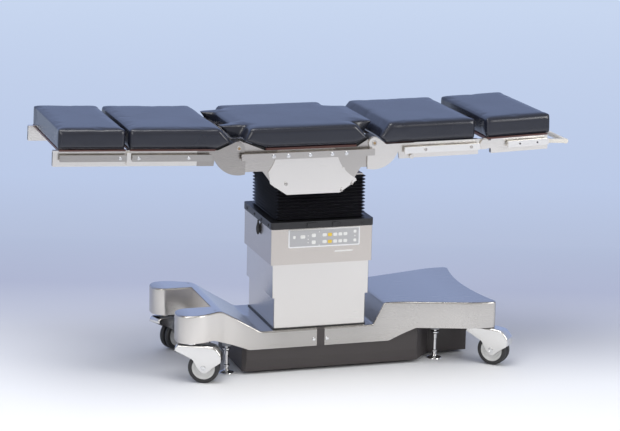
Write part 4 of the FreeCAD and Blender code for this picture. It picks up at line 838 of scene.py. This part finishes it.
def addBaseCover():
    # Top skin from the sheet drawn in by the edge radius, a quarter round, the wall down to the
    # lower edge, the same walls again inside; the head end is bitten by a wide arc on plan.
    body, arm = baseSheet()
    rowCount, columnCount = body.shape[:2]
    armRows, armColumns = arm.shape[:2]
    bodyIds = np.arange(rowCount * columnCount).reshape(rowCount, columnCount)
    start = rowCount * columnCount
    fresh = np.arange((armRows - 1) * armColumns).reshape(armRows - 1, armColumns)
    farIds = np.concatenate([fresh + start, bodyIds[:1, -armColumns:]])
    nearIds = np.concatenate([fresh + start + fresh.size, bodyIds[:1, armColumns - 1::-1]])
    flat = np.concatenate([body.reshape(-1, 2), arm[:-1].reshape(-1, 2), arm[:-1].reshape(-1, 2) * (1, -1)])
    middle = bodyIds[0, armColumns - 1:columnCount - armColumns + 1]
    loop = np.concatenate([
        farIds[:-1, -1], bodyIds[:-1, -1], bodyIds[-1, ::-1], bodyIds[-2:0:-1, 0], nearIds[::-1, -1],
        nearIds[0, -2:0:-1], nearIds[:-1, 0], middle[:-1], farIds[::-1, 0][:-1], farIds[0, :-1]])
    rim = flat[loop]
    normal = outward(rim)
    drawn = np.zeros_like(flat)
    drawn[loop] = -normal * base["edge"]
    for ids in (bodyIds[:-1], farIds[1:], nearIds[1:]):
        share = np.linspace(0, 1, ids.shape[1])[None, 1:-1, None]
        fill = drawn[ids[:, 0]][:, None] * (1 - share) + drawn[ids[:, -1]][:, None] * share
        inside = ids[:, 1:-1]
        free = ~np.isin(inside, loop)
        drawn[inside[free]] = fill[free]
    topAt, lowAt = alongBase("top"), alongBase("low")
    sheet = flat + drawn
    faces = [gridFaces(*ids.shape) for ids in (bodyIds, farIds, nearIds)]
    faces = np.concatenate([ids.ravel()[grid] for ids, grid in zip((bodyIds, farIds, nearIds), faces)])
    edge, wall = base["edge"], base["wall"]
    angles = np.linspace(0, math.pi / 2, 6)[1:]
    steps = [(-edge + edge * math.sin(a), edge * (1 - math.cos(a))) for a in angles]
    rings = [(rim + normal * out, topAt((rim + normal * out)[:, 0]) - drop) for out, drop in steps]
    rings.append((rim, lowAt(rim[:, 0])))
    rings.append((rim - normal * wall, lowAt(rim[:, 0])))
    rings.append((rim - normal * wall, topAt(rim[:, 0]) - edge))
    points = [np.column_stack([sheet, topAt(sheet[:, 0])])]
    points += [np.column_stack(ring) for ring in rings]
    points.append(np.column_stack([sheet, topAt(sheet[:, 0]) - wall]))
    count, around = len(sheet), len(loop)
    lines = [loop] + [count + index * around + np.arange(around) for index in range(len(rings))]
    lower = count + len(rings) * around
    lines.append(lower + loop)
    strips = np.array(lines)
    wallFaces = strips.ravel()[gridFaces(len(lines), around, wrapColumns=True)]
    allFaces = faces.tolist() + wallFaces.tolist() + (faces[:, ::-1] + lower).tolist()
    points = np.concatenate(points)
    ramp = ((points[:, 0] - base["hollowFrom"]) / (base["right"] - base["hollowFrom"])).clip(0, 1)
    bite = base["hollow"] * (1 - (points[:, 1] / base["half"]) ** 2).clip(0)
    points[:, 0] -= bite * ramp ** 2 * (3 - 2 * ramp)
    addPart("baseCover", (points, allFaces), "baseSteel", "base", ["base_cover"])


bellows = {
    "x": 68.0, "halfX": 187.0, "halfY": 182.0, "corner": 24.0, "low": 616.0, "high": 788.0,
    "pleats": 13, "depth": 13.0, "wall": 2.5, "steps": 10, "sharpness": 1.4, "crease": 60.0,
}


def roundedBox(x, y, halfX, halfY, corner, steps=6):
    # A rectangle with rounded corners about a middle point.
    return roundedPath([(x - halfX, y - halfY), (x + halfX, y - halfY), (x + halfX, y + halfY),
                        (x - halfX, y + halfY)], [corner] * 4, True, steps)


def ringWall(outline, rings):
    # A closed sheet: each ring is the outline moved out by a distance, at a height.
    normal = outward(outline)
    points = np.concatenate([np.column_stack([outline + normal * out, np.full(len(outline), level)])
                             for out, level in rings])
    return points, gridFaces(len(rings), len(outline), True, True).tolist()


def addBellows():
    # Rings up the outside whose distance in follows a sharpened wave, and two plain rings inside.
    outline = roundedBox(bellows["x"], 0, bellows["halfX"], bellows["halfY"], bellows["corner"])
    rise = np.linspace(0, 1, bellows["pleats"] * bellows["steps"] + 1)
    wave = np.abs(np.cos(rise * bellows["pleats"] * math.pi)) ** bellows["sharpness"]
    levels = bellows["low"] + (bellows["high"] - bellows["low"]) * rise
    rings = [(-bellows["depth"] * depth, level) for depth, level in zip(wave, levels)]
    deep = -bellows["depth"] - bellows["wall"]
    rings += [(deep, bellows["high"]), (deep, bellows["low"])]
    piece = addPart("bellowsFolds", ringWall(outline, rings), "bellowsRubber", None,
                    ["bellows"], crease=bellows["crease"])
    worldPoint(bellows["x"], 0, bellows["low"])
    worldPoint(bellows["x"], 0, bellows["high"])
    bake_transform(piece)


caster = {
    "places": {"leg_near": (-466, -216, -23), "leg_far": (-466, 216, 28),
               "head_near": (748, -238, -45), "head_far": (748, 238, 45)},
    "trail": 51.0, "axle": 62.0, "tyre": 62.0, "hub": 46.0, "width": 22.0, "gap": 8.0,
    "upper": [(-62, 131), (-62, 154), (50, 154), (96, 150), (121, 118), (121, 89)],
    "upperRounds": [0, 16, 30, 34, 26, 0],
    "lower": [(-62, 131), (-24, 113), (10, 96), (31, 58), (47, 43), (63, 43), (80, 60), (121, 89)],
    "lowerRounds": [0, 20, 22, 24, 10, 10, 22, 0],
    "half": 30.5, "round": 8.0, "wall": 2.6, "rows": 60,
    # kingpin: radius and height; bolt: radius and distance out of the hood's side
    "pin": [(0, 150), (24, 150), (24, 158), (21, 160), (21, 172.5), (0, 172.5)],
    "bolt": [(0, -1), (11, -1), (11, 1.5), (9.5, 2.6), (6, 2.6), (5, 1.2), (0, 1.2)],
    # tyre bead and shoulder, and hub face: distance from the hub, from the tread or from the axle,
    # and depth from the wheel's side
    "bead": [(0, 1), (2, 0), (5, 0.8)], "shoulder": [(7, 0.2), (3, 1.6), (0.8, 5)],
    "hubFace": [(5.2, 3), (13, 3), (15, 5), (34, 6), (38, 2.5), (44, 1.5), (45.8, 2.5)],
}


def hoodPart():
    # Cross-sections from one lower edge over the top to the other lower edge and back inside.
    upper = spaced(roundedPath(caster["upper"], caster["upperRounds"]), caster["rows"])
    lower = spaced(roundedPath(caster["lower"], caster["lowerRounds"]), caster["rows"])
    inwards = lower - upper
    length = np.linalg.norm(inwards, axis=1, keepdims=True)
    inwards = inwards / np.maximum(length, 1e-6)
    half, turn, wall = caster["half"], caster["round"], caster["wall"]

    def line(drop, y):
        flat = upper + inwards * np.minimum(drop, length)
        return np.column_stack([flat[:, 0], np.full(len(flat), y), flat[:, 1]])

    angles = np.linspace(0, math.pi / 2, 5)
    side = [(turn * (1 - math.sin(a)), half - turn * (1 - math.cos(a))) for a in angles]
    outside = [(math.inf, half)] + side
    inside = [(wall, half - turn), (turn, half - wall), (math.inf, half - wall)]
    loop = [(drop, -y) for drop, y in outside] + [(drop, y) for drop, y in reversed(outside)]
    loop += [(drop, y) for drop, y in reversed(inside)] + [(drop, -y) for drop, y in inside]
    sections = np.stack([line(drop, y) for drop, y in loop], 1)
    return sections.reshape(-1, 3), sweepFaces(*sections.shape[:2])


def wheelRing(side, profile, turns):
    # A ring on the axle from one half of its profile, mirrored in the wheel's middle.
    middle = side * (caster["gap"] + caster["width"]) / 2
    at = (caster["trail"], 0, caster["axle"])
    return lathe([(radius, y + middle) for radius, y in profile], "y", at, turns, True)


def tyrePart(side):
    # A ring with round shoulders and a shallow groove in each wall.
    half, outer, hub = caster["width"] / 2, caster["tyre"], caster["hub"]
    profile = [(hub + out, -half + depth) for out, depth in caster["bead"]]
    profile += [(outer - back, -half + depth) for back, depth in caster["shoulder"]] + [(outer, 0)]
    profile += [(radius, -y) for radius, y in reversed(profile[:-1])]
    return wheelRing(side, profile, 56)


def hubPart(side):
    # A dished disc with a rim ring and a raised middle.
    face = [(radius, caster["width"] / 2 - depth) for radius, depth in caster["hubFace"]]
    return wheelRing(side, face + [(radius, -y) for radius, y in reversed(face)], 48)


def addCasters():
    # Hood, kingpin with the axle's two bolt heads, tyres and hubs of each caster.
    at = (caster["trail"], 0, caster["axle"])
    bolt = [(radius, caster["half"] + out) for radius, out in caster["bolt"]]
    pin = joined([lathe(caster["pin"]), lathe(bolt, "y", at, 24), headOn(bolt, at, 24)])
    tyres, hubs = (joined([part(-1), part(1)]) for part in (tyrePart, hubPart))
    for name, (x, y, turn) in caster["places"].items():
        body, wheels, move = "caster_" + name, "wheels_" + name, (x, y, 0)
        addPart(name + "Hood", placed(hoodPart(), turn, move), "hoodSteel", body,
                [body + "_hood"])
        addPart(name + "Pin", placed(pin, turn, move), "brightSteel", body)
        addPart(name + "Tyres", placed(tyres, turn, move), "tyreRubber", wheels,
                [body + "_tyres"])
        addPart(name + "Hubs", placed(hubs, turn, move), "hubPlastic", wheels,
                [body + "_hubs"])


foot = {
    "places": (-302.0, 579.0), "side": 138.0, "tops": (162.0, 172.0),
    "profile": [(0, 0), (29, 0), (30, 1.5), (29, 3.5), (17, 7.5), (11, 11), (9, 16), (8.4, 24), (12, 26),
                (12, 34), (7.5, 36), (7, 40)],
    "collar": [(7, -34), (9, -32), (10, -16), (16, -9), (16, -5), (7, -4)], "collarDrop": 55,
    "rod": 7, "rodUp": 20, "turns": 30,
}


def addLockFeet():
    # A trumpet foot with its locknut and rod, and a flared collar under the guide.
    parts = []
    for x, high in zip(foot["places"], foot["tops"]):
        collar = [(radius, high - foot["collarDrop"] + level) for radius, level in foot["collar"]]
        end = high + foot["rodUp"]
        profile = foot["profile"] + collar + [(foot["rod"], end), (0, end)]
        parts.append(lathe(profile, "z", (x, foot["side"], 0), foot["turns"]))
    addPart("lockFeet", bothSides(joined(parts)), "brightSteel", "floor_locks",
            ["floor_lock_feet"])


strip = {
    "left": 52.0, "right": 84.0, "proud": 0.5, "half": 205.0, "low": 106.0, "top": 178.0, "reach": 187.0,
    "thick": 1.0, "round": 7.5, "screwPlaces": (40, 95), "screwLevel": 133,
    "screw": [(0, -1), (7.5, -1), (7.5, 1), (6.4, 2.4), (3.4, 2.9), (3.0, 1.4), (0, 1.4)],
}


def addBaseStrip():
    # A dark band folded over the near and far edge of the cover, a pan screw on each side of it.
    lines = []
    for inset in (0.0, strip["thick"]):
        out = strip["half"] + strip["proud"] - inset
        high = strip["top"] + strip["proud"] - inset
        lines.append(roundedPath([(-out, strip["low"]), (-out, high), (-strip["reach"], high)],
                                 [0, strip["round"] - inset, 0]))
    loop = np.concatenate([lines[0], lines[1][::-1]])
    ends = (strip["left"], strip["right"])
    sections = np.stack([np.column_stack([np.full(len(loop), x), loop]) for x in ends])
    band = sections.reshape(-1, 3), sweepFaces(*sections.shape[:2])
    addPart("baseBand", bothSides(band), "skirtPaint", "base")
    screws = [headOn(strip["screw"], (x, -strip["half"], strip["screwLevel"]), 24)
              for x in strip["screwPlaces"]]
    addPart("baseScrews", bothSides(joined(screws)), "brightSteel", "base")


# Rail screws: section, body, x places, radius, material; all on the rail's middle height
railScrews = {
    "seat": (None, "seat", (-164, -105, -17, 72, 130), 8.0, "brightSteel"),
    "leg": ("leg", "leg_section", (-694, -500), 6.5, "brightSteel"),
    "extension": ("leg", "leg_extension", (-765,), 6.5, "brightSteel"),
    "back": ("back", "back_section", (456, 648), 6.5, "plateSteel"),
    "head": ("head", "head_section", (855, 930), 3.6, "blackPlastic"),
}
railFace = {"y": 292.0, "z": 901.5}
# Screws on the cover plates of the seat: x, z, radius
plateScrews = {"y": 265.0, "spots": [(-105, 784, 6.5), (163, 774, 4.5), (121, 748, 4.5)]}


def panHead(radius):
    # Profile of a pan head with a round socket.
    return [(0, -0.5), (radius, -0.5), (radius, 1.2), (radius * 0.87, 2.2), (radius * 0.5, 2.4),
            (radius * 0.45, 1.0), (0, 1.0)]


def addScrews():
    # Pan heads with a socket on every rail, and darker ones on the cover plates.
    for name, (section, body, places, radius, material) in railScrews.items():
        heads = [headOn(panHead(radius), (x, -railFace["y"], railFace["z"]), 20) for x in places]
        addPart(name + "RailScrews", bothSides(joined(heads)), material, body,
                section=section)
    heads = [headOn(panHead(radius), (x, -plateScrews["y"], z), 18)
             for x, z, radius in plateScrews["spots"]]
    addPart("plateScrews", bothSides(joined(heads)), "plateSteel", "seat")


keypad = {
    "left": -72.0, "right": 224.0, "low": 510.0, "top": 585.0,
    "face": -197.0, "thick": 2.5, "frame": 5.0,
    "white": [(-48, 553, 10, 12), (-13, 554, 20, 14), (32, 558, 17, 15), (32, 530, 17, 15),
              (77, 558, 18, 13), (121, 558, 17, 13), (142, 558, 16, 13), (163, 558, 16, 13),
              (77, 530, 18, 13), (121, 530, 17, 13), (142, 530, 16, 13), (163, 530, 16, 13),
              (203, 566, 12, 12), (203, 530, 12, 12)],
    "yellow": [(99, 558, 17, 14), (99, 530, 17, 14)],
    "dots": [(9, 557, 4), (9, 543, 4), (9, 529, 4), (203, 548, 5), (55, 571, 4), (55, 517, 4)],
    "raised": 0.8, "dotRaised": 0.4, "sunk": 0.3, "bevel": 0.35, "cornerShare": 0.28,
    # bare strip under the panel: middle, half width and half height, corner and its steps
    "strip": (158, 489, 38, 3, 1, 3), "stripFrom": -0.8, "stripTo": 0.2, "softEdge": 0.3,
    "corner": 5, "innerCorner": 3, "edge": 0.4, "fieldThick": 0.6,
}


def keyAt(x, z, width, height, raised):
    # One raised key field with round corners.
    front = keypad["face"] - keypad["thick"]
    outline = roundedBox(x, z, width / 2, height / 2, min(width, height) * keypad["cornerShare"], 4)
    return slab(outline, front - raised, front + keypad["sunk"], keypad["bevel"])


def addKeypad():
    # A foil with a raised border, white and yellow key fields and small lamps.
    x, z = (keypad["left"] + keypad["right"]) / 2, (keypad["low"] + keypad["top"]) / 2
    halfX, halfZ = (keypad["right"] - keypad["left"]) / 2, (keypad["top"] - keypad["low"]) / 2
    face, rim, soft, edge = keypad["face"], keypad["frame"], keypad["softEdge"], keypad["edge"]
    front = face - keypad["thick"]
    plate = slab(roundedBox(x, z, halfX, halfZ, keypad["corner"], 5), front + edge, face, edge)
    inner = roundedBox(x, z, halfX - rim, halfZ - rim, keypad["innerCorner"], 5)
    field = slab(inner, front, front + keypad["fieldThick"], soft)
    keys, yellow = (joined([keyAt(*key, keypad["raised"]) for key in keypad[kind]])
                    for kind in ("white", "yellow"))
    dots = joined([keyAt(x, z, size, size, keypad["dotRaised"]) for x, z, size in keypad["dots"]])
    under = slab(roundedBox(*keypad["strip"]), face + keypad["stripFrom"], face + keypad["stripTo"], soft)
    addPart("keypadPlate", plate, "keypadEdge", "carriage", ["keypad_panel"])
    for name, part, material in (
            ("keypadField", field, "keypadFoil"), ("keypadKeys", keys, "keyWhite"),
            ("keypadYellow", yellow, "keyYellow"), ("keypadDots", dots, "keyWhite"),
            ("keypadStrip", under, "keyWhite")):
        addPart(name, part, material, "carriage")


collar = {
    "x": 68.0, "halfX": 212.0, "halfY": 203.0, "screwLevel": 600.0, "turns": 18,
    "leftPlaces": (-160, -60, 40, 150), "nearPlaces": (140, 232),
    "screw": [(0, -0.5), (6, -0.5), (6, 1.0), (5, 1.8), (3, 1.8), (2.6, 0.6), (0, 0.6)],
}


def addCollarScrews():
    # Screws in the collar's left and near faces.
    head, z, turns = collar["screw"], collar["screwLevel"], collar["turns"]
    left = collar["x"] - collar["halfX"]
    screws = [headOn(head, (left, y, z), turns, "x") for y in collar["leftPlaces"]]
    screws += [headOn(head, (x, -collar["halfY"], z), turns) for x in collar["nearPlaces"]]
    addPart("collarScrews", joined(screws), "blackPlastic", "carriage")


column = {
    "x": 68.0, "halfX": 199.5, "halfY": 190.5, "corner": 5.0, "low": 308.0, "high": 500.0, "wall": 1.5,
}


def addColumnSleeve():
    # The middle one of three telescoping sleeves: a rounded box on plan pulled up, open at both ends.
    outline = roundedBox(column["x"], 0, column["halfX"], column["halfY"], column["corner"])
    rings = [(0.0, column["low"]), (0.0, column["high"]), (-column["wall"], column["high"]),
             (-column["wall"], column["low"])]
    addPart("columnSleeve", ringWall(outline, rings), "coverSteel", "base")


hinge = {
    "drum": 25.0, "inner": 190.0, "outer": 250.0, "gussetInner": 240.0, "gussetOuter": 246.0,
    "leg": [(-396, 927), (-381, 928), (-334, 949), (-330, 942), (-374, 912), (-396, 910)],
    "seat": [[(-238, 945), (-184, 928), (-150, 928), (-150, 912), (-200, 914), (-242, 934)],
             [(168, 928), (182, 929), (225, 951), (222, 932), (190, 910), (168, 910)]],
    "pin": [(0, -250), (8.9, -250), (8.9, -269), (10.4, -269.1), (10.4, -270.1), (9.6, -270.8),
            (0, -270.8)],
    "stud": [(0, -270.7), (5.2, -270.7), (5.2, -272.1), (4.4, -272.8), (2.4, -272.8), (2.0, -271.8),
             (0, -271.8)],
    "bevel": 0.6,
}


def addHingeParts():
    # A dark drum round each pivot inside the plates, a gusset under each nose of the pads that the
    # side view would else show through, and pins with a small bronze stud.
    low, high, bevel = hinge["gussetInner"], hinge["gussetOuter"], hinge["bevel"]
    inner, outer, radius = hinge["inner"], hinge["outer"], hinge["drum"]
    drum = [(0, inner), (radius - 1, inner), (radius, inner + 1)]
    drum += [(radius, outer - 1), (radius - 1, outer), (0, outer)]
    drums, pins, studs = [], [], []
    for x, z in (top["legPivot"], top["backPivot"]):
        drums.append(lathe(drum, "y", (x, 0, z), 40))
        pins.append(lathe(hinge["pin"], "y", (x, 0, z), 28))
        studs.append(lathe(hinge["stud"], "y", (x, 0, z), 24))
    gussets = [slab(outline, low, high, bevel) for outline in hinge["seat"]]
    addPart("hingeDrums", bothSides(joined(drums + gussets)), "blackPlastic", "seat")
    addPart("legGussets", bothSides(slab(hinge["leg"], low, high, bevel)), "blackPlastic",
            "leg_section", section="leg")
    addPart("hingePins", bothSides(joined(pins)), "plateSteel", "seat",
            ["leg_hinge_pins", "back_hinge_pins"])
    addPart("hingeStuds", bothSides(joined(studs)), "bronze", "seat")


# Brown laminate edges that show between pad and beam: section, body, x from and to
boardEdges = {
    "leg": ("leg", "leg_section", -724, -392), "extension": ("leg", "leg_extension", -996, -741),
    "head": ("head", "head_section", 726, 982),
    "y": (264.0, 269.6), "z": (924.5, 930.5), "bevel": 0.6,
}


def addBoardEdges():
    # One flat strip each side, its long edges rounded off.
    for name in ("leg", "extension", "head"):
        section, body, left, right = boardEdges[name]
        low, high = boardEdges["z"]
        outline = [(left, low), (right, low), (right, high), (left, high)]
        line = slab(outline, *boardEdges["y"], boardEdges["bevel"])
        addPart(name + "BoardEdges", bothSides(line), "boardLaminate", body,
                section=section)


pull = {
    "at": (-147.6, -29.0, 0.0), "turns": 28,
    "profile": [(0, 531), (3.2, 532.5), (6.4, 540), (8.2, 551), (8.2, 560), (6.0, 573), (3.6, 582),
                (3.4, 591), (0, 591)],
}


def addPull():
    # A drop-shaped pull under the collar: its profile turned about an upright line.
    part = lathe(pull["profile"], "z", pull["at"], pull["turns"])
    addPart("collarPull", part, "blackPlastic", "carriage", ["collar_hook"])


addBaseCover()
addColumnSleeve()
addHingeParts()
addBoardEdges()
addPull()
addBellows()
addCasters()
addLockFeet()
addBaseStrip()
addScrews()
addKeypad()
addCollarScrews()
print("stage: pieces")
